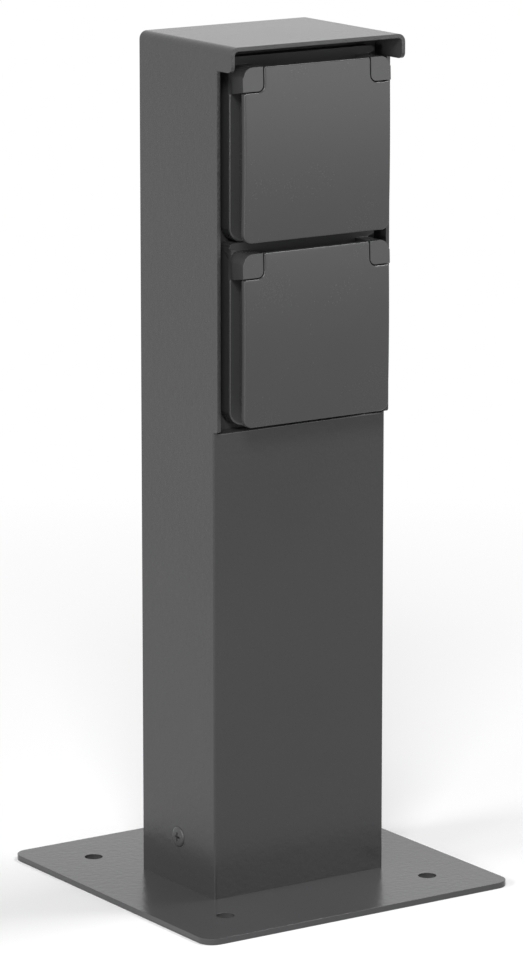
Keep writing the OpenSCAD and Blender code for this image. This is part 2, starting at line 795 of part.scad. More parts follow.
// Flap lid: crowned face, bowed skirt, two knuckles and the keeper for the spring's leg
module lid(i) {
    skirt = bow(lid_z - skirt_deep, skirt_deep - skirt_shallow);
    face = bow(lid_z, lid_crown);
    span = cover_w / 2 + over;
    knuckle_x = lid_top_x - knuckle_len;
    coil_room = coil_l / 2 + spring_wire + part_fit;
    leg_z = hinge_z - coil_r;
    keeper_z = leg_z - keeper_hole / 2 - keeper_wall;
    color(plastic) at_cover(i) difference() {
        union() {
            difference() {
                intersection() {
                    layer(lid_z - skirt_deep - over, lid_z + lid_crown + over) polygon(lid_points(0));
                    along_x(-span, span)
                        polygon(concat(skirt, [for (k = [2 * bow_n : -1 : 0]) face[k]]));
                }
                layer(lid_z - skirt_deep - 2 * over, lid_in_z) polygon(lid_points(lid_wall));
            }
            mirrored_x() rod(knuckle_x, lid_top_x, hinge_y, hinge_z, knuckle_r);
            translate([coil_l / 2 - keeper_w / 2, hinge_y - spring_leg, keeper_z])
                cube([keeper_w, keeper_h, lid_in_z + lid_wall / 2 - keeper_z]);
        }
        rod(-span, span, hinge_y, hinge_z, pin_d / 2 + run_fit);
        rod(-knuckle_x, knuckle_x, hinge_y, hinge_z, pin_d / 2 + part_fit);
        rod(-coil_room, coil_room, hinge_y, hinge_z, coil_r + spring_wire / 2 + part_fit);
        translate([coil_l / 2 - keeper_hole / 2, hinge_y - spring_leg - over, leg_z - keeper_hole / 2])
            cube([keeper_hole, spring_leg, keeper_hole]);
    }
}

// Soft ring in the lid that meets the collar
module lid_seal(i) {
    inset = (frame_wall - seal_w) / 2;
    color(rubber) at_cover(i) layer(seal_z, lid_in_z) difference() {
        polygon(collar_points(inset));
        polygon(collar_points(inset + seal_w));
    }
}

base_plate();
base_bracket();
weld_nuts();
side_screws();
outer_shell();
rear_panel();
socket_panel();
cable_grommet();
earth_stud();
earth_nut();
earth_lead();
live_link();
neutral_link();
earth_link();
panel_screws();
centre_screws();
cover_frame(1);  // upper_frame
flange_seal(1);  // upper_flange_seal
support_ring(1);  // upper_support_ring
insert(1);  // upper_insert
base(1);  // upper_base
contacts(1);  // upper_contacts
earth_clip(1);  // upper_earth_clip
hinge_pin(1);  // upper_hinge_pin
lid_spring(1);  // upper_lid_spring
lid(1);  // upper_lid
lid_seal(1);  // upper_lid_seal
cover_frame(0);  // lower_frame
flange_seal(0);  // lower_flange_seal
support_ring(0);  // lower_support_ring
insert(0);  // lower_insert
base(0);  // lower_base
contacts(0);  // lower_contacts
earth_clip(0);  // lower_earth_clip
hinge_pin(0);  // lower_hinge_pin
lid_spring(0);  // lower_lid_spring
lid(0);  // lower_lid
lid_seal(0);  // lower_lid_seal
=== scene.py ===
# %% [markdown]
# # A garden socket post
# The real object is a folded steel housing on a square foot plate, with two socket outlets under sprung
# flaps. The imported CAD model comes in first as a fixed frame, in metres. All that follows is modelled
# around it, so each piece goes straight to its place.

# %% Load the frame
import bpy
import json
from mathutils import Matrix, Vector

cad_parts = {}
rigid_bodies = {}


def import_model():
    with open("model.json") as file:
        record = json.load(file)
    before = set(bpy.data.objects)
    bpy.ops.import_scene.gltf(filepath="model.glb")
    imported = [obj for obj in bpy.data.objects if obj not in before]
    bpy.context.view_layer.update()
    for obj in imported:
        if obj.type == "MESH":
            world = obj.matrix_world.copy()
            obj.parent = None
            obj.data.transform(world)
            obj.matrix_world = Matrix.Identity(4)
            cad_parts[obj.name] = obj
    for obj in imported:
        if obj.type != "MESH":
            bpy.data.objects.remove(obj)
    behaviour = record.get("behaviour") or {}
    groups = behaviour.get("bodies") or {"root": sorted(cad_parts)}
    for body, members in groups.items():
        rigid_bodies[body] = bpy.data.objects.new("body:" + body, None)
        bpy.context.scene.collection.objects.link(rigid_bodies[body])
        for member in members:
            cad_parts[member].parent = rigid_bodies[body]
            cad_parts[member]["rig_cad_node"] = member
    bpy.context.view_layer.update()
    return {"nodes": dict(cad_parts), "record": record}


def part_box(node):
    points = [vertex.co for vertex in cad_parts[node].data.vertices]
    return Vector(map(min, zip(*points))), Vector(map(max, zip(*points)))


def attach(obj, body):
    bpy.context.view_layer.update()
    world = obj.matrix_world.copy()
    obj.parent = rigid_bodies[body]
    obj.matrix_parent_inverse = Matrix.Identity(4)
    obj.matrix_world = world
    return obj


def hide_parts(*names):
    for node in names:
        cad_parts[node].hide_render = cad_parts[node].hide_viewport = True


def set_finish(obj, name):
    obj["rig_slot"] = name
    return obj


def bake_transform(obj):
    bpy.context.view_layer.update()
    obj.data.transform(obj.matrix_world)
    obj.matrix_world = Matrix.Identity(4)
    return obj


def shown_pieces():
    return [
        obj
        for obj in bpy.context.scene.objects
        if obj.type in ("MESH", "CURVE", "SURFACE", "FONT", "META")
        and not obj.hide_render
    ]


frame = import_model()

# %% [markdown]
# MM turns millimetres into metres, and NEAR is how close two places have to be to count as one.

# %% Units and nearness
import json
import math

import bmesh
import bpy
from mathutils import Vector

MM = 0.001
NEAR = 0.01 * MM

# %% [markdown]
# Sizes are read from the frame wherever a CAD node shows them, so the scene follows the CAD model. A
# cover has a frame of its own: x to the right, y up from its middle, and z out of the socket panel's
# face. The upper cover is drawn there in plain millimetres, and the lower cover is a copy farther down.

# %% Read sizes from the frame
RECESS = 6.6 * MM
shell_low, shell_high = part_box("outer_shell")
plate_low, plate_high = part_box("base_plate")
panel_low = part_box("socket_panel")[0]
lid_low, lid_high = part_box("upper_lid")
HALF_WIDTH = shell_high.x
VISOR_Y, BACK_Y = shell_low.y, shell_high.y
FOOT_Z, ROOF_Z = shell_low.z, shell_high.z
PANEL_Y, APRON_Z = panel_low.y, panel_low.z
FRONT_Y = PANEL_Y - RECESS
COVER_Z = (lid_low.z + lid_high.z) / 2
COVER_DROP = lid_high.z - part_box("lower_lid")[1].z


def at(x, y, z):
    """A point of the upper cover's own frame, given in mm, as a place in the scene."""
    return Vector((x * MM, PANEL_Y - z * MM, COVER_Z + y * MM))


print("housing half width", HALF_WIDTH, "apron top", APRON_Z, "covers are", COVER_DROP, "apart")

# %% [markdown]
# An operator acts on whatever is selected, so every step starts from an empty selection. These helpers
# do what the hand does in the viewport: they add a shape and pick parts of it. Picking goes by place,
# because the order of points in a mesh changes with every edit.

# %% Starting and picking


def clear_selection():
    """Leaves edit mode and deselects everything."""
    if bpy.context.object and bpy.context.object.mode == "EDIT":
        bpy.ops.object.mode_set(mode="OBJECT")
    bpy.ops.object.select_all(action="DESELECT")


def take(piece):
    """Makes one piece the only selected and active one."""
    clear_selection()
    bpy.context.view_layer.objects.active = piece
    piece.select_set(True)


def start(name, add, scale=(1, 1, 1), **settings):
    """Adds a primitive at its size and place and opens it in edit mode."""
    clear_selection()
    add(**settings)
    piece = bpy.context.object
    piece.name = piece.data.name = name
    piece.scale = scale
    bpy.ops.object.transform_apply(location=True, rotation=True, scale=True)
    bpy.ops.object.mode_set(mode="EDIT")
    bpy.ops.mesh.select_mode(type="VERT")
    return piece


def spots(part):
    """The corners of an edge or face and its middle, or the one place of a vertex."""
    if not hasattr(part, "verts"):
        return [part.co]
    corners = [vertex.co for vertex in part.verts]
    return corners + [sum(corners, Vector()) / len(corners)]


def near(value, wanted):
    """True where two measures count as one."""
    return abs(value - wanted) < NEAR


def pick_all():
    """Selects the whole mesh."""
    bpy.ops.mesh.select_all(action="SELECT")


def pick(piece, kind, wanted):
    """Selects the vertices, edges or faces whose corners and middle pass a test, and nothing else."""
    bpy.ops.mesh.select_all(action="DESELECT")
    bpy.ops.mesh.select_mode(type=kind)
    mesh = bmesh.from_edit_mesh(piece.data)
    mesh.select_mode = {kind}
    parts = {"VERT": mesh.verts, "EDGE": mesh.edges, "FACE": mesh.faces}[kind]
    chosen = [part for part in parts if all(wanted(spot) for spot in spots(part))]
    for part in chosen:
        part.select_set(True)
    mesh.select_flush_mode()
    bmesh.update_edit_mesh(piece.data)
    return len(chosen)


print("made clear_selection, take, start, spots, near, pick_all and pick")

# %% [markdown]
# The next helpers shape what is picked. A cut is a bisect with a plane, a pull is an extrude, and
# rounding is a bevel, of edges or of corner points. Turned pieces could start from a cylinder, but a
# half section that is spun gives every groove and lip at once, as on a lathe.

# %% Cutting, pulling and rounding
FLAT = math.radians(1)


def cut(point, normal):
    """Cuts the whole mesh with a plane."""
    pick_all()
    bpy.ops.mesh.bisect(plane_co=point, plane_no=normal)


def pull(x=0.0, y=0.0, z=0.0):
    """Extrudes what is selected."""
    bpy.ops.mesh.extrude_region_move(TRANSFORM_OT_translate={"value": (x, y, z)})


def rounded(radius, steps, kind="EDGES"):
    """Rounds the selected edges or corner points."""
    bpy.ops.mesh.bevel(offset=radius, segments=steps, affect=kind, clamp_overlap=False)


def tidy_mesh():
    """Merges doubles and turns all faces outwards."""
    pick_all()
    bpy.ops.mesh.remove_doubles(threshold=NEAR / 2)
    bpy.ops.mesh.normals_make_consistent(inside=False)


def drawn(name, places):
    """Shrinks a small plane to one point and pulls that point along a list of places."""
    piece = start(name, bpy.ops.mesh.primitive_plane_add, size=MM)
    pick_all()
    bpy.ops.mesh.merge(type="CENTER")
    bpy.ops.transform.translate(value=places[0])
    for here, there in zip(places, places[1:]):
        pull(*(there - here))
    return piece


def turned(name, section, steps=64):
    """Draws a half section of (radius, height) in mm and spins it about Z."""
    piece = drawn(name, [Vector((radius, 0, height)) * MM for radius, height in section])
    pick_all()
    bpy.ops.mesh.spin(steps=steps, angle=2 * math.pi, center=(0, 0, 0), axis=(0, 0, 1))
    tidy_mesh()
    bpy.ops.mesh.dissolve_limited(angle_limit=FLAT)
    bpy.ops.object.mode_set(mode="OBJECT")
    return piece


print("made cut, pull, rounded, tidy_mesh, drawn and turned")

# %% [markdown]
# These helpers work on whole pieces. Modifiers are added and applied at once, so each step sees the
# mesh that the last one left. Holes are cut with tool bodies, because a boolean leaves the rest of the
# mesh as it was.

# %% Modifiers, tools and copies


def apply(piece, kind, **settings):
    """Adds a modifier and applies it."""
    take(piece)
    modifier = piece.modifiers.new(kind.title(), kind)
    for name, value in settings.items():
        setattr(modifier, name, value)
    bpy.ops.object.modifier_apply(modifier=modifier.name)


def edge_bevel(piece, width, steps=2, angle=40):
    """Softens all edges that are sharper than an angle."""
    apply(piece, "BEVEL", width=width, segments=steps, limit_method="ANGLE",
          angle_limit=math.radians(angle))


def combine(piece, tool, operation="DIFFERENCE"):
    """Cuts a tool body out of a piece, or welds it on, and throws the tool away."""
    apply(piece, "BOOLEAN", object=tool, operation=operation, solver="EXACT")
    bpy.data.objects.remove(tool)


def put(piece, place, turn=(0, 0, 0)):
    """Moves and turns a finished mesh, and keeps that place in the mesh."""
    take(piece)
    piece.location = place
    piece.rotation_euler = turn
    bpy.ops.object.transform_apply(location=True, rotation=True, scale=True)


def duplicate(piece, name, shift=(0, 0, 0)):
    """Copies a piece with a mesh of its own."""
    take(piece)
    bpy.ops.object.duplicate(linked=False)
    copy = bpy.context.object
    copy.name = copy.data.name = name
    put(copy, shift)
    return copy


print("made apply, edge_bevel, combine, put and duplicate")

# %% [markdown]
# A finished piece has its doubles merged and its faces outwards. Smoothing stops at sharp angles, and
# weighted normals keep the big flat faces flat next to their small rounded edges. Then the piece gets
# its CAD body.

# %% Finishing a piece


def done(piece, body, slot, nodes=(), angle=35):
    """Cleans and smooths a piece, and ties it to a body, a slot and the CAD nodes that it stands for."""
    take(piece)
    bpy.ops.object.mode_set(mode="EDIT")
    tidy_mesh()
    bpy.ops.object.mode_set(mode="OBJECT")
    bpy.ops.object.shade_smooth_by_angle(angle=math.radians(angle))
    apply(piece, "WEIGHTED_NORMAL", keep_sharp=True, weight=80)
    piece.data.materials.clear()
    if body:
        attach(piece, body)
    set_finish(piece, slot)
    if nodes:
        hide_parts(*nodes)
    size = [round(value / MM, 1) for value in piece.dimensions]
    print(piece.name, size, "mm,", len(piece.data.polygons), "faces")


print("made done")

# %% [markdown]
# ## The camera
# The photograph was taken from far off with a long lens, a little from the left and a little from
# above. Place, direction and lens were found by fitting the plate's and housing's corners to their
# pixels, which is surer than turning a camera by eye.

# %% Camera
CAMERA_PLACE = Vector((-1.34023, -1.99721, 0.72010))
CAMERA_AZIMUTH = math.radians(-33.889)
CAMERA_ELEVATION = math.radians(12.199)
LENS_PIXELS, SENSOR, LONG_SIDE = 5013.0, 36.0, 960
clear_selection()
bpy.ops.object.camera_add(location=CAMERA_PLACE)
camera = bpy.context.object
camera.rotation_euler = (math.pi / 2 - CAMERA_ELEVATION, 0, CAMERA_AZIMUTH)
camera.data.sensor_width = SENSOR
camera.data.lens = LENS_PIXELS * SENSOR / LONG_SIDE
bpy.context.scene.camera = camera
print("lens", round(camera.data.lens, 1), "mm")

# %% [markdown]
# ## The foot plate
# A laser-cut steel square with round corners, four anchor holes and a cable hole. A cube is rounded at
# its upright edges and drilled, and a fine bevel gives the soft rim that a powder coat leaves on cut
# sheet. The holes could be inset and deleted, but drilling them keeps each one round without extra
# points around it.

# %% Foot plate
PLATE_CORNER, PLATE_EDGE, DRILL_LENGTH = 8 * MM, 0.45 * MM, 20 * MM
ANCHOR_OUT, ANCHOR_RADIUS, CABLE_RADIUS = 60 * MM, 4.5 * MM, 15 * MM
grommet_low, grommet_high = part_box("cable_grommet")
POST_Y = (grommet_low.y + grommet_high.y) / 2
foot_plate = start("foot_plate", bpy.ops.mesh.primitive_cube_add, size=1,
                   location=(plate_low + plate_high) / 2, scale=plate_high - plate_low)
for x in (plate_low.x, plate_high.x):
    for y in (plate_low.y, plate_high.y):
        pick(foot_plate, "EDGE", lambda c: near(c.x, x) and near(c.y, y))
        rounded(PLATE_CORNER, 12)
anchors = [(x * ANCHOR_OUT, y * ANCHOR_OUT, ANCHOR_RADIUS) for x in (-1, 1) for y in (-1, 1)]
for x, y, radius in anchors + [(0, POST_Y, CABLE_RADIUS)]:
    drill = start("drill", bpy.ops.mesh.primitive_cylinder_add, vertices=48, radius=radius,
                  depth=DRILL_LENGTH, location=(x, y, 0))
    combine(foot_plate, drill)
edge_bevel(foot_plate, PLATE_EDGE, 3)
done(foot_plate, "post", "powder_coat", ["base_plate"])

# %% [markdown]
# ## The housing
# On the real post one sheet is cut flat and folded: roof, sides, visor with its wings, cheeks beside
# the sockets and the apron below them. It could be a hollowed block, but it is made as the sheet is: a
# plane for the roof, edges pulled down as the sides are folded, and Solidify later for the sheet's
# thickness.

# %% Housing: roof and sides
SHEET, ROOF_BEND = 2 * MM, 4 * MM
CHEEK_Y, WING_Z, RELIEF = FRONT_Y - 3 * MM, ROOF_Z - 12.1 * MM, 0.5 * MM
housing = start("housing_sheet", bpy.ops.mesh.primitive_plane_add, size=1,
                location=(0, (VISOR_Y + BACK_Y) / 2, ROOF_Z),
                scale=(2 * HALF_WIDTH, BACK_Y - VISOR_Y, 1))
cut((0, CHEEK_Y, 0), (0, 1, 0))
cut((0, FRONT_Y, 0), (0, 1, 0))
pick(housing, "EDGE", lambda c: near(abs(c.x), HALF_WIDTH))
pull(z=WING_Z - ROOF_Z)
pick(housing, "EDGE", lambda c: near(c.z, WING_Z) and c.y > CHEEK_Y - NEAR)
pull(z=APRON_Z + RELIEF - WING_Z)
pick(housing, "EDGE", lambda c: near(c.z, APRON_Z + RELIEF) and c.y > FRONT_Y - NEAR)
pull(z=-RELIEF)
pull(z=FOOT_Z - APRON_Z)
print("folded sides:", len(bmesh.from_edit_mesh(housing.data).faces), "faces")

# %% [markdown]
# The apron is folded in from both sides to the middle, and its top edge is folded back to the socket
# panel. Two strips that meet are merged into one sheet, which is simpler than bridging the gap between
# the sides.

# %% Housing: apron and its top return
RETURN_X = HALF_WIDTH - 2.5 * MM


def on_apron_side(c):
    return near(abs(c.x), HALF_WIDTH) and near(c.y, FRONT_Y) and c.z < APRON_Z + NEAR


def on_apron_top(c):
    return near(c.z, APRON_Z) and near(c.y, FRONT_Y) and abs(c.x) < RETURN_X + NEAR


for side in (-1, 1):
    pick(housing, "EDGE", lambda c: on_apron_side(c) and c.x * side > 0)
    pull(x=side * (RETURN_X - HALF_WIDTH))
    pull(x=-side * RETURN_X)
tidy_mesh()
pick(housing, "EDGE", on_apron_top)
pull(y=PANEL_Y + SHEET - FRONT_Y)
print("with apron:", len(bmesh.from_edit_mesh(housing.data).faces), "faces")

# %% [markdown]
# The roof's bends are wide and are rounded on the thin sheet, so Solidify makes both sides of the bend
# parallel. The tight folds of the apron come after it, on the outside only, and then all cut edges are
# softened a little.

# %% Housing: bends, corner radii and thickness
WING_CORNER, CHEEK_CORNER = 3 * MM, 1.5 * MM
APRON_FOLD, RETURN_FOLD, CUT_EDGE = 1.1 * MM, 0.8 * MM, 0.35 * MM
pick(housing, "EDGE", lambda c: near(abs(c.x), HALF_WIDTH) and near(c.z, ROOF_Z))
rounded(ROOF_BEND, 8)
for corner_y, corner_z, radius, steps in ((VISOR_Y, WING_Z, WING_CORNER, 6),
                                          (CHEEK_Y, APRON_Z + RELIEF, CHEEK_CORNER, 4)):
    pick(housing, "VERT", lambda c: near(abs(c.x), HALF_WIDTH) and near(c.y, corner_y)
         and near(c.z, corner_z))
    rounded(radius, steps, "VERTICES")
tidy_mesh()
apply(housing, "SOLIDIFY", thickness=SHEET, offset=-1, use_even_offset=True)
bpy.ops.object.mode_set(mode="EDIT")
pick(housing, "EDGE", on_apron_side)
rounded(APRON_FOLD, 4)
pick(housing, "EDGE", on_apron_top)
rounded(RETURN_FOLD, 3)
edge_bevel(housing, CUT_EDGE, 2)
print("housing with its thickness:", len(housing.data.polygons), "faces")

# %% [markdown]
# Each side has a countersunk hole for the screw that holds the housing on its bracket. The drill is a
# turned cone with a straight end, like the real countersink, so one cut makes both the hole and its
# slope.

# %% Housing: screw holes
CLEAR_R, SINK_R, SINK_DEEP = 2.8, 5.25, 2.0
screw_low, screw_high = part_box("side_screws")
SCREW_Z = (screw_low.z + screw_high.z) / 2
for side in (-1, 1):
    sink = turned("sink", [(0, -3), (CLEAR_R, -3), (CLEAR_R, -SINK_DEEP), (SINK_R, 0.05), (SINK_R, 1),
                           (0, 1)], 48)
    put(sink, (side * HALF_WIDTH, POST_Y, SCREW_Z), (0, side * math.pi / 2, 0))
    combine(housing, sink)
done(housing, "post", "powder_coat", ["outer_shell"])

# %% [markdown]
# ## The back sheet
# A flat sheet closes the back and fits between the housing's sides. A cube gets the roof's inner radius
# at its two upper corners, so no light shows there, and soft cut edges.

# %% Back sheet
BACK_EDGE = 0.4 * MM
back_low, back_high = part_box("rear_panel")
back_sheet = start("back_sheet", bpy.ops.mesh.primitive_cube_add, size=1,
                   location=(back_low + back_high) / 2, scale=back_high - back_low)
for x in (back_low.x, back_high.x):
    pick(back_sheet, "EDGE", lambda c: near(c.x, x) and near(c.z, back_high.z))
    rounded(ROOF_BEND - SHEET, 6)
edge_bevel(back_sheet, BACK_EDGE, 2)
done(back_sheet, "post", "powder_coat", ["rear_panel"])

# %% [markdown]
# ## The cover frames
# Each socket has a moulded frame: a flange on the panel, a collar that the flap's seal meets, and two
# hinge tabs that show as squares at the flap's upper corners. Flange and tabs could be two blocks
# welded together, but one plane with two cut fields is simpler: all of it is pulled out to the flange's
# height, and the fields then go farther. The flange reaches up until it meets the next cover's flange,
# as on the real post.

# %% Cover frame: flange and tabs
COVER_X, COVER_Y, COVER_TOP = 42.0, 42.25, 41.75
FLANGE_LOW, FLANGE_HIGH, FLANGE_BACK, FLANGE_Z = -43.45, 45.5, 0.8, 8.0
FLANGE_CORNER, FLANGE_TOP_CORNER = 8.0, 2.5
TAB_X, TAB_Y, TAB_Z, TAB_LEAN = 31.0, 30.15, 20.8, math.radians(2)
FORWARD = (math.pi / 2, 0, 0)


def sheet_at(name, x0, y0, x1, y1, z):
    """A plane that faces the front, over a field of the cover's own frame."""
    return start(name, bpy.ops.mesh.primitive_plane_add, size=1, rotation=FORWARD,
                 location=at((x0 + x1) / 2, (y0 + y1) / 2, z),
                 scale=((x1 - x0) * MM, (y1 - y0) * MM, 1))


def round_points(piece, radius, steps, points):
    """Rounds the corner points at these x and y of the cover's own frame, on both sides."""
    for x, y in points:
        spot = at(x, y, 0)
        pick(piece, "VERT", lambda c: near(abs(c.x), spot.x) and near(c.z, spot.z))
        rounded(radius * MM, steps, "VERTICES")


upper_frame = sheet_at("upper_cover_frame", -COVER_X, FLANGE_LOW, COVER_X, FLANGE_HIGH, FLANGE_BACK)
for side in (-1, 1):
    cut(at(side * TAB_X, 0, 0), (1, 0, 0))
for height in (TAB_Y, COVER_TOP):
    cut(at(0, height, 0), (0, 0, 1))
round_points(upper_frame, FLANGE_CORNER, 10, [(COVER_X, FLANGE_LOW)])
round_points(upper_frame, FLANGE_TOP_CORNER, 6, [(COVER_X, FLANGE_HIGH)])
pick_all()
pull(y=(FLANGE_BACK - FLANGE_Z) * MM)
tab_low, tab_high = at(TAB_X, TAB_Y, FLANGE_Z), at(COVER_X, COVER_TOP, FLANGE_Z)


def on_tab_foot(c, top):
    """True on the flange's face, in a tab's field, up to a height."""
    return near(c.y, tab_low.y) and abs(c.x) > tab_low.x - NEAR and tab_low.z - NEAR < c.z < top + NEAR


print("tab fields:", pick(upper_frame, "FACE", lambda c: on_tab_foot(c, tab_high.z)))
pull(y=(FLANGE_Z - TAB_Z) * MM)
bpy.ops.transform.rotate(value=TAB_LEAN, orient_axis="X", center_override=at(0, TAB_Y, TAB_Z))

# %% [markdown]
# A tab isn't a plain block. Its face leans back, its inner lower corner and its outer upper corner are
# round, its foot slopes down to the flange, and it grows a little wider towards the front. Each of
# these is one rounding or one move of a few points. The flange's own edge gets a wider radius than the
# rest.

# %% Cover frame: shape of the tabs and edges
TAB_FLARE, TAB_CORNER, TAB_TOP_CORNER, TAB_SLOPE = 1.013, 3.0, 5.0, 2.2
FLANGE_EDGE, FRAME_EDGE = 1.0, 0.5


def depth_edges(x, y):
    """Picks the edges that run forward from the flange's face at this x and y, on both sides."""
    spot = at(x, y, FLANGE_Z)
    return pick(upper_frame, "EDGE", lambda c: near(abs(c.x), spot.x) and near(c.z, spot.z)
                and c.y < spot.y + NEAR)


def on_flange_edge(c):
    """True on the flange's outer edge in front, along its sides, lower corners and bottom."""
    past_x = max(abs(c.x) - (COVER_X - FLANGE_CORNER) * MM, 0)
    past_y = max(at(0, FLANGE_LOW + FLANGE_CORNER, 0).z - c.z, 0)
    off = abs(math.hypot(past_x, past_y) - FLANGE_CORNER * MM)
    return near(c.y, tab_low.y) and off < 5 * NEAR


depth_edges(TAB_X, TAB_Y)
rounded(TAB_CORNER * MM, 6)
corner_top = at(0, TAB_Y + TAB_CORNER, 0).z
pick(upper_frame, "VERT", lambda c: on_tab_foot(c, corner_top))
bpy.ops.transform.translate(value=(0, 0, -TAB_SLOPE * MM))
depth_edges(COVER_X, COVER_TOP)
rounded(TAB_TOP_CORNER * MM, 8)
pick(upper_frame, "VERT", lambda c: near(abs(c.x), tab_high.x) and c.y < tab_high.y - MM)
bpy.ops.transform.resize(value=(TAB_FLARE, 1, 1), center_override=(0, 0, 0))
tidy_mesh()
bpy.ops.mesh.dissolve_limited(angle_limit=FLAT)
print("flange edges:", pick(upper_frame, "EDGE", on_flange_edge))
rounded(FLANGE_EDGE * MM, 4)
edge_bevel(upper_frame, FRAME_EDGE * MM, 3)
print("flange and tabs:", len(upper_frame.data.polygons), "faces")

# %% [markdown]
# The collar is a rounded plane with an inset hole, pulled out to a ring. The flange's back is hollow,
# and a round hole lets the plug cup through. Tools overlap a little, so that no two faces lie in one
# plane, where a boolean can go wrong.

# %% Cover frame: collar, hollow back and hole
COLLAR_X, COLLAR_LOW, COLLAR_HIGH, COLLAR_Z, COLLAR_R = 36.0, -36.95, 26.25, 15.0, 6.0
WALL, PASS_R = 2.0, 22.3


def deepen(z0, z1):
    """Pulls a whole sheet forward, from height z0 to z1 of the cover's own frame."""
    pick_all()
    pull(y=(z0 - z1) * MM)
    tidy_mesh()


def ring_at(name, inset, width, z0, z1):
    """A ring on the collar's outline, drawn in by an inset, from height z0 to z1."""
    x, low, high = COLLAR_X - inset, COLLAR_LOW + inset, COLLAR_HIGH - inset
    ring = sheet_at(name, -x, low, x, high, z0)
    round_points(ring, COLLAR_R - inset, 8, [(x, low), (x, high)])
    pick_all()
    bpy.ops.mesh.inset(thickness=width * MM)
    bpy.ops.mesh.delete(type="FACE")
    deepen(z0, z1)
    return ring


def block_at(name, x0, y0, z0, x1, y1, z1, radius=0.0):
    """A block in the cover's own frame, with rounded upright corners where a radius is given."""
    block = sheet_at(name, x0, y0, x1, y1, z0)
    if radius:
        pick_all()
        rounded(radius * MM, 8, "VERTICES")
    deepen(z0, z1)
    return block


collar = ring_at("collar", 0, WALL, FLANGE_Z - 1, COLLAR_Z)
edge_bevel(collar, FRAME_EDGE * MM, 2)
combine(upper_frame, collar, "UNION")
hollow = block_at("hollow", WALL - COVER_X, FLANGE_LOW + WALL, FLANGE_BACK - 1, COVER_X - WALL,
                  FLANGE_HIGH - WALL, FLANGE_Z - WALL, FLANGE_CORNER - WALL)
combine(upper_frame, hollow)
hole = turned("hole", [(0, 0), (PASS_R, 0), (PASS_R, 12), (0, 12)], 96)
put(hole, at(0, 0, 0), FORWARD)
combine(upper_frame, hole)
lower_frame = duplicate(upper_frame, "lower_cover_frame", (0, 0, -COVER_DROP))
done(upper_frame, "post", "cover_plastic", ["upper_frame"])
done(lower_frame, "post", "cover_plastic", ["lower_frame"])

# %% [markdown]
# ## The flaps
# A flap is a shallow moulding with a slightly crowned face and a hollow back. Its outline is a plane
# with two corner fields cut away for the tabs, pulled to its depth, with a rounded front edge. The back
# could be inset, but an inset turns a small corner arc inside out. So the same outline, drawn in by the
# wall's thickness, makes a tool that hollows the back.

# %% Flap: outline and hollow body
NECK_X, SHOULDER_Y, SKIRT_Z, LID_Z = 30.45, 29.6, 18.0, 21.0
LID_INSIDE, RIM_WALL, RIM_EDGE = 19.3, 2.4, 0.8
LOW_CORNER, NECK_CORNER, SHOULDER_CORNER = 4.5, 3.8, 1.0


def flap_outline(name, inset, z0, z1):
    """A body on the flap's outline, drawn in by an inset, from height z0 to z1."""
    x, low, high = COVER_X - inset, inset - COVER_Y, COVER_TOP - inset
    neck, shoulder = NECK_X - inset, SHOULDER_Y - inset
    body = sheet_at(name, -x, low, x, high, z0)
    cut(at(-neck, 0, 0), (1, 0, 0))
    cut(at(neck, 0, 0), (1, 0, 0))
    cut(at(0, shoulder, 0), (0, 0, 1))
    pick(body, "FACE", lambda c: abs(c.x) > neck * MM - NEAR and c.z > at(0, shoulder, 0).z - NEAR)
    bpy.ops.mesh.delete(type="FACE")
    pick_all()
    bpy.ops.mesh.dissolve_limited(angle_limit=FLAT)
    round_points(body, LOW_CORNER - inset, 8, [(x, low)])
    round_points(body, NECK_CORNER + inset, 6, [(neck, shoulder)])
    round_points(body, SHOULDER_CORNER, 3, [(x, shoulder), (neck, high)])
    deepen(z0, z1)
    return body


upper_flap = flap_outline("upper_flap", 0, SKIRT_Z, LID_Z)
pick(upper_flap, "EDGE", lambda c: near(c.y, at(0, 0, LID_Z).y))
rounded(RIM_EDGE * MM, 4)
flap_hollow = flap_outline("flap_hollow", RIM_WALL, SKIRT_Z - 1, LID_INSIDE)
combine(upper_flap, flap_hollow)
print("flap body:", len(upper_flap.data.polygons), "faces")

# %% [markdown]
# Cuts across the flap give rows of points. The rows are then moved forward one by one, most in the
# middle, for the crown of the face in front and the bowed edge of the skirt behind. A lattice could do
# this as well, but rows keep the outline exactly as it was drawn.

# %% Flap: crown and bow
ROWS, ROW_GAP, CROWN, SKIRT_BOW = 16, 0.03, 0.7, 1.0
take(upper_flap)
bpy.ops.object.mode_set(mode="EDIT")
for row in range(1, ROWS):
    cut(at(0, COVER_Y * (2 * row / ROWS - 1), 0), (0, 0, 1))


def swell(y, most):
    """How far a row at height y of the cover's own frame moves forward."""
    return most * (1 - (y / COVER_Y) ** 2)


heights = sorted((vertex.co.z - COVER_Z) / MM for vertex in bmesh.from_edit_mesh(upper_flap.data).verts)
rows = [[heights[0], heights[0]]]
for height in heights:
    if height - rows[-1][1] > ROW_GAP:
        rows.append([height, height])
    rows[-1][1] = height
front_from, back_to = at(0, 0, LID_Z - 2 * RIM_EDGE).y, at(0, 0, SKIRT_Z + 0.2).y
for low, high in rows:
    bottom, top = COVER_Z + low * MM - NEAR, COVER_Z + high * MM + NEAR
    middle = (low + high) / 2
    if pick(upper_flap, "VERT", lambda c: bottom < c.z < top and c.y < front_from):
        bpy.ops.transform.translate(value=(0, -swell(middle, CROWN) * MM, 0))
    if pick(upper_flap, "VERT", lambda c: bottom < c.z < top and c.y > back_to):
        bpy.ops.transform.translate(value=(0, -swell(middle, SKIRT_BOW) * MM, 0))
tidy_mesh()
print("flap rows moved:", len(rows))

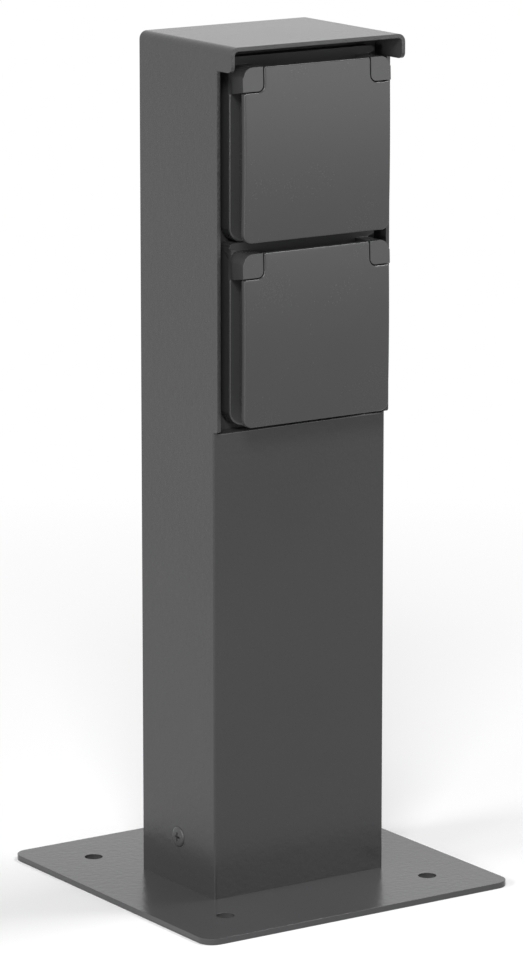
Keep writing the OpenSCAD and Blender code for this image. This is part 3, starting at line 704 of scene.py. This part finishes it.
# %% [markdown]
# Two knuckles carry the flap on its pin, with a keeper between them for the spring's leg. They are
# separate bodies welded on, because that is quicker than pulling round shapes out of a flat back. Then
# the pin's bore and the grooves for the pin and the spring's coil are cut out.

# %% Flap: knuckles, keeper and bore
HINGE_Y, HINGE_Z, KNUCKLE_R, KNUCKLE_LEN, KNUCKLE_EDGE = 37.75, 18.2, 2.6, 8.0, 0.3
KEEPER_X, KEEPER_HALF, KEEPER_EDGE, CHANNEL_HALF = 2.88, 1.3, 0.25, 0.55
PIN_BORE, PIN_GROOVE, COIL_GROOVE = (1.05, 31), (1.3, NECK_X - KNUCKLE_LEN + 0.05), (2.1, 3.7)
for side in (-1, 1):
    knuckle = turned("knuckle", [(0, 0), (KNUCKLE_R - KNUCKLE_EDGE, 0), (KNUCKLE_R, KNUCKLE_EDGE),
                                 (KNUCKLE_R, KNUCKLE_LEN - KNUCKLE_EDGE),
                                 (0, KNUCKLE_LEN - KNUCKLE_EDGE)], 36)
    put(knuckle, at(side * (NECK_X - KNUCKLE_LEN), HINGE_Y, HINGE_Z), (0, side * math.pi / 2, 0))
    combine(upper_flap, knuckle, "UNION")
keeper = block_at("keeper", KEEPER_X - KEEPER_HALF, HINGE_Y - 6, 15.4,
                  KEEPER_X + KEEPER_HALF, HINGE_Y - 4, 19.5)
edge_bevel(keeper, KEEPER_EDGE * MM, 2)
combine(upper_flap, keeper, "UNION")
channel = block_at("channel", KEEPER_X - CHANNEL_HALF, HINGE_Y - 8, 16.1,
                   KEEPER_X + CHANNEL_HALF, HINGE_Y - 1, 17.2)
combine(upper_flap, channel)
for radius, half in (PIN_BORE, PIN_GROOVE, COIL_GROOVE):
    bore = turned("bore", [(0, -half), (radius, -half), (radius, half), (0, half)], 32)
    put(bore, at(0, HINGE_Y, HINGE_Z), (0, math.pi / 2, 0))
    combine(upper_flap, bore)
lower_flap = duplicate(upper_flap, "lower_flap", (0, 0, -COVER_DROP))
done(upper_flap, "upper_lid", "cover_plastic", ["upper_lid"], 30)
done(lower_flap, "lower_lid", "cover_plastic", ["lower_lid"], 30)

# %% [markdown]
# The flap's seal is a soft ring that meets the collar. It is drawn on the collar's own outline, so the
# two always fit. Its free edges are round, so a wide bevel does it.

# %% Flap seals
SEAL_OUT, SEAL_WIDTH, SEAL_Z, SEAL_EDGE = 0.3, 2.6, 15.3, 0.8
upper_seal = ring_at("upper_flap_seal", -SEAL_OUT, SEAL_WIDTH, SEAL_Z, LID_INSIDE)
edge_bevel(upper_seal, SEAL_EDGE * MM, 3)
lower_seal = duplicate(upper_seal, "lower_flap_seal", (0, 0, -COVER_DROP))
done(upper_seal, "upper_lid", "seal_rubber", ["upper_lid_seal"])
done(lower_seal, "lower_lid", "seal_rubber", ["lower_lid_seal"])

# %% [markdown]
# ## The plug cups
# Behind a raised flap sits a plate with a round cup for the plug. The plate and the cup's outside are
# welded, and the cup's inside is a turned tool with a flared mouth. Cutting it out leaves a rounded
# rim, which would be hard to bevel after the fact where the cup meets the plate.

# %% Plug cup: plate and cup
FACE_Z, CUP_Z, SEAT_Z, CUP_R, CUP_OUT = 10.0, -7.5, -9.3, 19.7, 22.0
CUP_INSET, CUP_EDGE, MOUTH, SEAT_EDGE, FLOOR_EDGE = WALL + 0.3, 0.5, 1.0, 0.6, 0.8
QUARTER = [math.radians(angle) for angle in range(0, 91, 15)]
upper_cup = block_at("upper_plug_cup", CUP_INSET - COLLAR_X, COLLAR_LOW + CUP_INSET, FLANGE_Z,
                     COLLAR_X - CUP_INSET, COLLAR_HIGH - CUP_INSET, FACE_Z, COLLAR_R - CUP_INSET)
edge_bevel(upper_cup, CUP_EDGE * MM, 3)
barrel = turned("barrel", [(0, SEAT_Z), (CUP_OUT - SEAT_EDGE, SEAT_Z), (CUP_OUT, SEAT_Z + SEAT_EDGE),
                           (CUP_OUT, FACE_Z - MOUTH), (0, FACE_Z - MOUTH)], 96)
put(barrel, at(0, 0, 0), FORWARD)
combine(upper_cup, barrel, "UNION")
cup_floor = [(0, CUP_Z), (CUP_R - FLOOR_EDGE, CUP_Z), (CUP_R, CUP_Z + FLOOR_EDGE)]
flare = [(CUP_R + MOUTH * (1 - math.cos(a)), FACE_Z - MOUTH * (1 - math.sin(a))) for a in QUARTER]
bowl = turned("bowl", cup_floor + flare + [(CUP_R + MOUTH, FACE_Z + 2), (0, FACE_Z + 2)], 96)
put(bowl, at(0, 0, 0), FORWARD)
combine(upper_cup, bowl)
print("plate and cup:", len(upper_cup.data.polygons), "faces")

# %% [markdown]
# Guide ribs are welded in at both sides, so that a plug can't turn. Then the slots for the earth clips,
# the pins' holes with their lead-in slopes, and the hole for the centre screw are cut.

# %% Plug cup: ribs, holes and slots
RIB_IN, RIB_OUT, RIB_HALF, RIB_EDGE = 17.9, 20.5, 2.6, 0.4
SLOT_IN, SLOT_OUT, SLOT_HALF, SLOT_Z = 17.5, 22.7, 2.8, 7.0
PIN_X, PIN_HOLE_R, LEAD_IN_R, SCREW_HOLE_R = 9.5, 2.7, 3.4, 1.85
for side in (-1, 1):
    rib_left, rib_right = sorted((side * RIB_IN, side * RIB_OUT))
    rib = block_at("rib", rib_left, -RIB_HALF, CUP_Z - 0.5, rib_right, RIB_HALF, FLANGE_Z)
    edge_bevel(rib, RIB_EDGE * MM, 2)
    combine(upper_cup, rib, "UNION")
    slot_low, slot_high = sorted((side * SLOT_IN, side * SLOT_OUT))
    slot = block_at("slot", -SLOT_HALF, slot_low, SEAT_Z - 1, SLOT_HALF, slot_high, SLOT_Z)
    combine(upper_cup, slot)
    pin_hole = turned("pin_hole", [(0, SEAT_Z - 1), (PIN_HOLE_R, SEAT_Z - 1), (PIN_HOLE_R, CUP_Z - 0.6),
                                   (LEAD_IN_R, CUP_Z + 0.1), (LEAD_IN_R, CUP_Z + 1), (0, CUP_Z + 1)], 40)
    put(pin_hole, at(side * PIN_X, 0, 0), FORWARD)
    combine(upper_cup, pin_hole)
screw_hole = turned("screw_hole", [(0, SEAT_Z - 1), (SCREW_HOLE_R, SEAT_Z - 1),
                                   (SCREW_HOLE_R, CUP_Z + 1), (0, CUP_Z + 1)], 32)
put(screw_hole, at(0, 0, 0), FORWARD)
combine(upper_cup, screw_hole)
lower_cup = duplicate(upper_cup, "lower_plug_cup", (0, 0, -COVER_DROP))
done(upper_cup, "post", "insert_plastic", ["upper_insert"])
done(lower_cup, "post", "insert_plastic", ["lower_insert"])

# %% [markdown]
# ## Screws
# Each side screw has a low domed head with a raised rim, and a cross recess. It is turned from a half
# section, with ridges on the shank for the thread: a true helix would hardly show inside the post. Two
# tapered blades press the cross into the head. One screw is made and copied for the other side.

# %% Side screws
HEAD_R, RIM_HIGH, RIM_WIDE, DOME_HIGH = 5.1, 0.3, 0.3, 0.9
SHANK_R, SHANK_LEN, THREAD, THREAD_DEEP = 2.5, 12.0, 0.8, 0.35
CROSS_R, CROSS_WIDE, CROSS_DEEP, CROSS_TAPER = 2.9, 1.3, 1.9, 0.45
HEAD_LOW, DOME_FROM = -2.0, RIM_HIGH + 0.1
dome = [((HEAD_R - RIM_WIDE) * math.cos(math.radians(a)),
         DOME_FROM + (DOME_HIGH - DOME_FROM) * math.sin(math.radians(a))) for a in range(0, 90, 10)]
head = [(SHANK_R, HEAD_LOW), (HEAD_R, -0.15), (HEAD_R, RIM_HIGH - 0.15), (HEAD_R - 0.1, RIM_HIGH)]
ridges = []
for k in range(int((SHANK_LEN + HEAD_LOW) / THREAD)):
    z = -SHANK_LEN + THREAD * k
    ridges += [(SHANK_R - THREAD_DEEP, z), (SHANK_R, z + THREAD / 2)]
shank = [(0, -SHANK_LEN)] + ridges + [(SHANK_R - THREAD_DEEP, HEAD_LOW)]
left_screw = turned("left_side_screw", shank + head + dome + [(0, DOME_HIGH)], 48)
for turn in (0, math.pi / 2):
    blade = start("blade", bpy.ops.mesh.primitive_cube_add, size=1, rotation=(0, 0, turn),
                  location=(0, 0, (DOME_HIGH - CROSS_DEEP / 2 + 0.5) * MM),
                  scale=(2 * CROSS_R * MM, CROSS_WIDE * MM, (CROSS_DEEP + 1) * MM))
    pick(blade, "FACE", lambda c: c.z < (DOME_HIGH - CROSS_DEEP / 2) * MM)
    bpy.ops.transform.resize(value=(CROSS_TAPER, CROSS_TAPER, 1), center_override=(0, 0, 0))
    combine(left_screw, blade)
right_screw = duplicate(left_screw, "right_side_screw")
for side, side_screw, nodes in ((-1, left_screw, ["side_screws"]), (1, right_screw, [])):
    put(side_screw, (side * HALF_WIDTH, POST_Y, SCREW_Z), (0, side * math.pi / 2, 0))
    done(side_screw, "post", "screw_finish", nodes)

# %% [markdown]
# ## The cable grommet
# A rubber ring protects the cable in the plate's hole. It is turned from a section with round lips: the
# foot fills the hole, and the wider head lies on the plate.

# %% Grommet
LIP_OUT, LIP_IN, LIP_Z, LIP_R = 18.0, 8.0, 4.5, 1.0
foot = [(7.6, 0), (14.5, 0), (14.9, 0.4), (14.9, 3), (LIP_OUT + LIP_R, 3)]
outer_lip = [(LIP_OUT + LIP_R * math.cos(a), LIP_Z + LIP_R * math.sin(a)) for a in QUARTER]
inner_lip = [(LIP_IN - LIP_R * math.sin(a), LIP_Z + LIP_R * math.cos(a)) for a in QUARTER]
grommet = turned("inlet_grommet", foot + outer_lip + inner_lip + [(LIP_IN - LIP_R, 0.6), (7.6, 0)])
put(grommet, (0, POST_Y, 0))
done(grommet, "post", "grommet_rubber", ["cable_grommet"])

# %% [markdown]
# ## The flap springs
# A spring is drawn along the wire's middle: a straight leg to the frame, five turns and a bit round the
# pin, and a straight leg into the flap's keeper. As a curve it gets its round wire from the bevel
# depth, and then it becomes a mesh.

# %% Flap springs
WIRE, COIL_R, PITCH, COIL_TURN, STEPS = 0.5, 1.55, 1.0, 270 + 360 * 5, 144
COIL_LEN = PITCH * COIL_TURN / 360
route = [(-COIL_LEN / 2, HINGE_Y - COIL_R, FLANGE_Z)]
for k in range(STEPS + 1):
    angle = math.radians(-90 + COIL_TURN * k / STEPS)
    route.append((-COIL_LEN / 2 + COIL_LEN * k / STEPS, HINGE_Y + COIL_R * math.sin(angle),
                  HINGE_Z + COIL_R * math.cos(angle)))
route.append((COIL_LEN / 2, HINGE_Y - 6, HINGE_Z - COIL_R))
upper_spring = drawn("upper_flap_spring", [at(*place) for place in route])
take(upper_spring)
bpy.ops.object.convert(target="CURVE")
upper_spring = bpy.context.object
upper_spring.data.bevel_depth = WIRE / 2 * MM
upper_spring.data.bevel_resolution = 2
upper_spring.data.use_fill_caps = True
bpy.ops.object.convert(target="MESH")
upper_spring = bpy.context.object
lower_spring = duplicate(upper_spring, "lower_flap_spring", (0, 0, -COVER_DROP))
for spring, lid, drop in ((upper_spring, "upper_lid", 0), (lower_spring, "lower_lid", COVER_DROP)):
    done(spring, None, "spring_steel", [lid + "_spring"], 60)
    lift = Vector((0, 0, drop))
    at(-COIL_LEN / 2, HINGE_Y, HINGE_Z) - lift
    at(COIL_LEN / 2, HINGE_Y, HINGE_Z) - lift
    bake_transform(spring)

# %% [markdown]
# ## Finishes
# One small class wraps a node's output, so that shader maths reads as arithmetic. Each finish then gets
# its colour, roughness and bump from noise at the real thing's scale. Object coordinates are in metres,
# so a scale of 1000 gives lumps of about a millimetre.

# %% The shader helper


class Flow:
    """A value on its way through a node tree."""

    def __init__(self, tree, socket=None):
        self.tree, self.socket = tree, socket

    def node(self, kind, settings=None, values=None, out=0):
        """Adds a node: its settings first, then the values or links of its sockets."""
        made = self.tree.nodes.new(kind)
        for name, value in (settings or {}).items():
            setattr(made, name, value)
        for name, value in (values or {}).items():
            if isinstance(value, Flow):
                self.tree.links.new(value.socket, made.inputs[name])
            else:
                made.inputs[name].default_value = value
        return Flow(self.tree, made.outputs[out] if made.outputs else None)

    def math(self, operation, first, second):
        return self.node("ShaderNodeMath", {"operation": operation}, {0: first, 1: second})

    def __add__(self, other):
        return self.math("ADD", self, other)

    __radd__ = __add__

    def __sub__(self, other):
        return self.math("SUBTRACT", self, other)

    def __rsub__(self, other):
        return self.math("SUBTRACT", other, self)

    def __mul__(self, other):
        return self.math("MULTIPLY", self, other)

    __rmul__ = __mul__

    def __gt__(self, other):
        return self.math("GREATER_THAN", self, other)


print("made Flow")

# %% [markdown]
# Every finish starts with the same few nodes: a shader, its output and Object coordinates. What is the
# same all over the surface is set on the shader itself, and what varies is fed in later.

# %% Building blocks of a finish
FINISHES = {}


def noise(flow, place, scale, detail=2.0, rough=0.5):
    """Smooth noise from 0 to 1, with scale in lumps per metre."""
    return flow.node("ShaderNodeTexNoise", {}, {"Vector": place, "Scale": scale, "Detail": detail,
                                                "Roughness": rough})


def shade(colour, share):
    """A colour made darker or lighter, as a node takes it."""
    return tuple(value * share for value in colour) + (1.0,)


def blend_colours(flow, share, first, second):
    """A mix of two colours, the second by a share from 0 to 1."""
    return flow.node("ShaderNodeMix", {"data_type": "RGBA"}, {0: share, 6: first, 7: second}, out=2)


def bump(flow, height, strength, distance):
    """A normal from a height that varies."""
    return flow.node("ShaderNodeBump", {}, {"Height": height, "Strength": strength, "Distance": distance})


def finish(name, colour, sockets):
    """Keeps a new material; returns a flow, Object coordinates and a way to feed the shader."""
    material = bpy.data.materials.new(name + "_finish")
    material.use_nodes = True
    tree = material.node_tree
    tree.nodes.clear()
    flow = Flow(tree)
    shader = flow.node("ShaderNodeBsdfPrincipled", {}, {"Base Color": (*colour, 1), **sockets})
    flow.node("ShaderNodeOutputMaterial", {}, {"Surface": shader})
    place = flow.node("ShaderNodeTexCoord", {}, {}, out="Object")

    def feed(key, value):
        tree.links.new(value.socket, shader.socket.node.inputs[key])

    FINISHES[name] = material
    return flow, place, feed


print("made noise, shade, blend_colours, bump and finish")

# %% [markdown]
# The housing is powder coated: a satin anthracite film with a fine grain and a long, faint orange peel.
# The grain breaks up the gloss a little, and the colour drifts by a few percent over a hand's width.
# The plate takes a lighter copy of the same coat, which is painted light. Inside the housing a duller,
# slightly lighter copy is painted light that lifts the shade. The side screws are painted over as well.

# %% Powder coat


def coat(name, colour, rough, gloss):
    flow, place, feed = finish(name, colour, {"Specular IOR Level": gloss})
    drift = noise(flow, place, 14, 3)
    grain = noise(flow, place, 1100, 3, 0.6)
    peel = noise(flow, place, 330, 2)
    tone = drift * 0.5 + grain * 0.5
    feed("Base Color", blend_colours(flow, tone, shade(colour, 0.82), shade(colour, 1.18)))
    feed("Roughness", rough - 0.05 + 0.07 * grain + 0.04 * drift)
    feed("Normal", bump(flow, peel * 0.9 + grain * 0.35, 0.5, 0.2 * MM))


coat("powder_coat", (0.036, 0.036, 0.037), 0.22, 0.42)
# Painted light: the plate is the same coat, given a lighter colour.
coat("plate_painted_light_coat", (0.058, 0.058, 0.06), 0.22, 0.42)
# Painted light: a duller, lighter copy of the coat that lifts the shade inside the housing and on the
# socket panel.
coat("inside_painted_light_coat", (0.045, 0.045, 0.046), 0.6, 0.3)
coat("screw_finish", (0.045, 0.045, 0.046), 0.34, 0.42)
print("coats:", sorted(FINISHES))

# %% [markdown]
# The covers are moulded plastic with an even, spark-eroded grain that is finer than the coat's. The
# grain is made with Voronoi cells, which look like the small pits that a mould leaves. The flange's flat
# faces get a coarser, duller and slightly lighter copy of the plastic, tuned to the shade the flange
# shows: painted shade. The sockets' base is a pale plastic out of sight.

# %% Moulded plastics


def moulded(name, colour, rough, cells, depth, gloss=0.5):
    flow, place, feed = finish(name, colour, {"Specular IOR Level": gloss})
    pits = flow.node("ShaderNodeTexVoronoi", {"feature": "SMOOTH_F1"},
                     {"Vector": place, "Scale": cells, "Smoothness": 0.6})
    drift = noise(flow, place, 22, 3)
    tone = drift * 0.8 + pits * 0.2
    feed("Base Color", blend_colours(flow, tone, shade(colour, 0.93), shade(colour, 1.07)))
    feed("Roughness", rough - 0.03 + 0.05 * drift + 0.02 * pits)
    feed("Normal", bump(flow, pits, 0.3, depth * MM))


moulded("cover_plastic", (0.038, 0.038, 0.039), 0.26, 1800, 0.012)
# Painted shade: a duller, coarser, slightly lighter copy of the cover plastic for the flange's flat
# faces.
moulded("flange_painted_shade_plastic", (0.044, 0.044, 0.045), 0.6, 1100, 0.03, 0.25)
moulded("insert_plastic", (0.028, 0.028, 0.03), 0.36, 1400, 0.03)
moulded("base_plastic", (0.62, 0.6, 0.53), 0.45, 1200, 0.03)
print("with plastics:", sorted(FINISHES))

# %% [markdown]
# Rubber is dull, with a faint bloom in patches. Plated steel shows crystals, which are Voronoi cells
# that differ in gloss. Brass and spring wire show fine drawn lines too, which are noise stretched along
# one axis by a Mapping node.

# %% Rubber and metals


def rubber(name, colour):
    flow, place, feed = finish(name, colour, {"Specular IOR Level": 0.35})
    bloom = noise(flow, place, 90, 4, 0.65)
    skin = noise(flow, place, 2200, 2)
    feed("Base Color", blend_colours(flow, bloom, shade(colour, 0.75), shade(colour, 1.7)))
    feed("Roughness", 0.62 + 0.2 * bloom)
    feed("Normal", bump(flow, skin, 0.4, 0.05 * MM))


def metal(name, colour, rough, stretch, scale):
    flow, place, feed = finish(name, colour, {"Metallic": 1.0})
    along = flow.node("ShaderNodeMapping", {}, {"Vector": place, "Scale": stretch})
    lines = noise(flow, along, scale, 3, 0.6)
    crystals = flow.node("ShaderNodeTexVoronoi", {}, {"Vector": place, "Scale": 420}, out="Color")
    facet = flow.node("ShaderNodeSeparateColor", {}, {0: crystals})
    tone = facet * 0.5 + lines * 0.5
    feed("Base Color", blend_colours(flow, tone, shade(colour, 0.85), shade(colour, 1.1)))
    feed("Roughness", rough - 0.05 + 0.1 * facet + 0.08 * lines)
    feed("Normal", bump(flow, lines, 0.2, 0.02 * MM))


rubber("seal_rubber", (0.018, 0.018, 0.018))
rubber("grommet_rubber", (0.015, 0.015, 0.016))
metal("zinc_steel", (0.52, 0.53, 0.55), 0.34, (1, 1, 1), 500)
metal("spring_steel", (0.42, 0.42, 0.44), 0.28, (0.05, 1, 1), 4000)
metal("brass", (0.66, 0.46, 0.16), 0.26, (1, 1, 0.06), 2600)
print("with rubber and metals:", sorted(FINISHES))

# %% [markdown]
# Wires have a glossy jacket with a faint grain. The earth wire is green with yellow stripes along it.
# All wires run up and back, so a wave of bands across X, cut off at a threshold, gives stripes that
# follow them.

# %% Wire jackets
STRIPE_SCALE, STRIPE_FROM = 120, 0.55


def jacket(name, colour, stripe=None):
    flow, place, feed = finish(name, colour, {"Specular IOR Level": 0.5})
    grain = noise(flow, place, 600, 3)
    body = blend_colours(flow, grain, shade(colour, 0.85), shade(colour, 1.15))
    if stripe:
        ripple = flow.node("ShaderNodeTexWave", {"wave_type": "BANDS", "bands_direction": "X"},
                           {"Vector": place, "Scale": STRIPE_SCALE}, out="Fac")
        body = blend_colours(flow, ripple > STRIPE_FROM, body, shade(stripe, 1.0))
    feed("Base Color", body)
    feed("Roughness", 0.26 + 0.1 * grain)
    feed("Normal", bump(flow, grain, 0.2, 0.03 * MM))


jacket("live_wire", (0.14, 0.06, 0.03))
jacket("neutral_wire", (0.03, 0.11, 0.38))
jacket("earth_wire", (0.09, 0.3, 0.05), (0.72, 0.6, 0.05))
print("with wires:", sorted(FINISHES))

# %% [markdown]
# Every CAD node that still shows takes the finish of its slot in the record, and so does every new
# piece. Only the socket panel differs: it takes the inside's duller, lighter copy, which is painted
# light.

# %% Hand out the finishes
slots = {part["node"]: part["material_slot"] for part in frame["record"]["subparts"]}
# Painted light: the socket panel takes the inside's duller, lighter copy, which lifts its shade in the
# recess.
slots["socket_panel"] = "inside_painted_light_coat"
for node, thing in frame["nodes"].items():
    thing.data.materials.clear()
    thing.data.materials.append(FINISHES[slots[node]])
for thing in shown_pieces():
    if "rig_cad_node" not in thing:
        thing.data.materials.clear()
        thing.data.materials.append(FINISHES[thing["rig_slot"]])

# %% [markdown]
# Three kinds of piece show two finishes, and each pair is painted light and shade. The plate's top
# takes the lighter copy of the coat and the walls of its holes keep the plain coat, which is painted
# shade in the holes. The housing's inside takes the duller, lighter copy, which is painted light in its
# shade, and a cover frame's flange takes the duller, coarser copy that is painted shade, while its tabs
# and round edges stay glossy. Each gets a second material, and faces are given to it by their place and
# direction, so no mask has to be painted.

# %% Second finishes
HEART_DROP, STEEP, SQUARE = 20 * MM, 0.7, 0.99


def second_finish(piece, name, wanted):
    """Gives a piece a second finish on the faces that pass a test."""
    piece.data.materials.append(FINISHES[name])
    for face in piece.data.polygons:
        face.material_index = int(wanted(face))
    print(piece.name, name, sum(face.material_index for face in piece.data.polygons), "faces")


# Painted shade: the walls of the plate's holes keep the plain, darker coat while the top is lighter.
def in_hole(face):
    inside = max(abs(face.center.x), abs(face.center.y)) < plate_high.x - PLATE_CORNER
    return inside and abs(face.normal.z) < STEEP


# Painted light: faces turned into the housing take the duller, lighter copy that lifts their shade.
def faces_inwards(face):
    heart = Vector((0, POST_Y, min(face.center.z, ROOF_Z - HEART_DROP)))
    return face.normal.dot(face.center - heart) < 0


# Painted shade: the flange's flat faces take the duller copy; its rounded edges keep the glossy plastic.
def on_flange(face):
    square = max(abs(value) for value in face.normal) > SQUARE
    return square and face.center.y > at(0, 0, FLANGE_Z + 0.5).y


# Painted light: the plate's top takes the lighter copy of the coat.
foot_plate.data.materials[0] = FINISHES["plate_painted_light_coat"]
second_finish(foot_plate, "powder_coat", in_hole)
second_finish(housing, "inside_painted_light_coat", faces_inwards)
for cover_frame in (upper_frame, lower_frame):
    second_finish(cover_frame, "flange_painted_shade_plastic", on_flange)

# %% [markdown]
# ## The studio
# The photograph is a plain cut-out under soft, even light, with white all round. The world is white to
# the camera and in reflections, and a softer grey where it lights surfaces. The Light Path node tells
# these rays apart, so the background stays white with no more light on the post.

# %% World
AMBIENT = 0.25


def seen_directly(flow):
    """1 for rays that show the surroundings: to the camera, in gloss and through clear things."""
    camera_ray, gloss_ray, clear_ray = [flow.node("ShaderNodeLightPath", {}, {}, out=name) for name in
                                        ("Is Camera Ray", "Is Glossy Ray", "Is Transmission Ray")]
    return camera_ray + gloss_ray + clear_ray > 0.5


world = bpy.data.worlds.new("studio")
bpy.context.scene.world = world
world.use_nodes = True
world.node_tree.nodes.clear()
sky = Flow(world.node_tree)
strength = seen_directly(sky) * (1 - AMBIENT) + AMBIENT
backdrop = sky.node("ShaderNodeBackground", {}, {"Color": (1, 1, 1, 1), "Strength": strength})
sky.node("ShaderNodeOutputWorld", {}, {"Surface": backdrop})
print("world nodes:", len(world.node_tree.nodes))

# %% [markdown]
# The floor is pale paper that keeps the shadow near the post. Farther out it fades to the same white as
# the world, so no horizon shows. To light that bounces it is darker, because a white floor would
# brighten the post's shaded lower edges.

# %% Floor
FLOOR_R, FADE_FROM, FADE_OVER = 9.0, 0.18, 0.7
WHITE, PAPER, SEEN, BOUNCED = (1, 1, 1), (0.9, 0.9, 0.9), 0.97, 0.4
clear_selection()
bpy.ops.mesh.primitive_circle_add(vertices=96, radius=FLOOR_R, fill_type="NGON")
floor = bpy.context.object
floor.name = "floor"
flow, place, feed = finish("paper", PAPER, {"Specular IOR Level": 0.0, "Roughness": 1.0})
paper = FINISHES["paper"]
direct = seen_directly(flow)
feed("Base Color", blend_colours(flow, direct, shade(WHITE, BOUNCED), shade(WHITE, SEEN)))
distance = flow.node("ShaderNodeVectorMath", {"operation": "LENGTH"}, {0: place}, out="Value")
far = flow.node("ShaderNodeClamp", {}, {"Value": (distance - FADE_FROM) * (1 / FADE_OVER)})
white = flow.node("ShaderNodeEmission", {}, {"Color": (1, 1, 1, 1)})
matt = Flow(paper.node_tree, paper.node_tree.nodes["Principled BSDF"].outputs[0])
mixed = flow.node("ShaderNodeMixShader", {}, {0: far * direct, 1: matt, 2: white})
paper.node_tree.links.new(mixed.socket, paper.node_tree.nodes["Material Output"].inputs["Surface"])
floor.data.materials.append(paper)
print("floor is", round(floor.dimensions.x), "m across")

# %% [markdown]
# Five soft boxes light the post. The key stands in front on the left, two more light the left side, a
# weak one fills in from the right, and one high on the right is mirrored as a bright line along the
# round upper edges.

# %% Lamps


def soft_box(name, place, target, size, power):
    """A square soft lamp that looks at a target."""
    clear_selection()
    bpy.ops.object.light_add(type="AREA", location=place)
    lamp = bpy.context.object
    lamp.name = name
    lamp.data.shape = "SQUARE"
    lamp.data.size = size
    lamp.data.energy = power
    lamp.rotation_euler = (Vector(target) - Vector(place)).to_track_quat("-Z", "Y").to_euler()


soft_box("key_box", (-1.5, -2.05, 2.1), (0, 0, 0.3), 1.0, 56)
soft_box("left_box", (-2.6, 0.22, 1.3), (0, 0, 0.4), 0.7, 29)
soft_box("low_left_box", (-2.4, -0.87, 0.5), (0, 0, 0.4), 0.7, 20)
soft_box("front_box", (1.26, -1.87, 0.6), (0, 0, 0.6), 1.0, 7)
soft_box("right_box", (1.4, -0.3, 2.4), (0, 0, 0.3), 0.8, 28)
bpy.context.scene.view_settings.view_transform = "Standard"
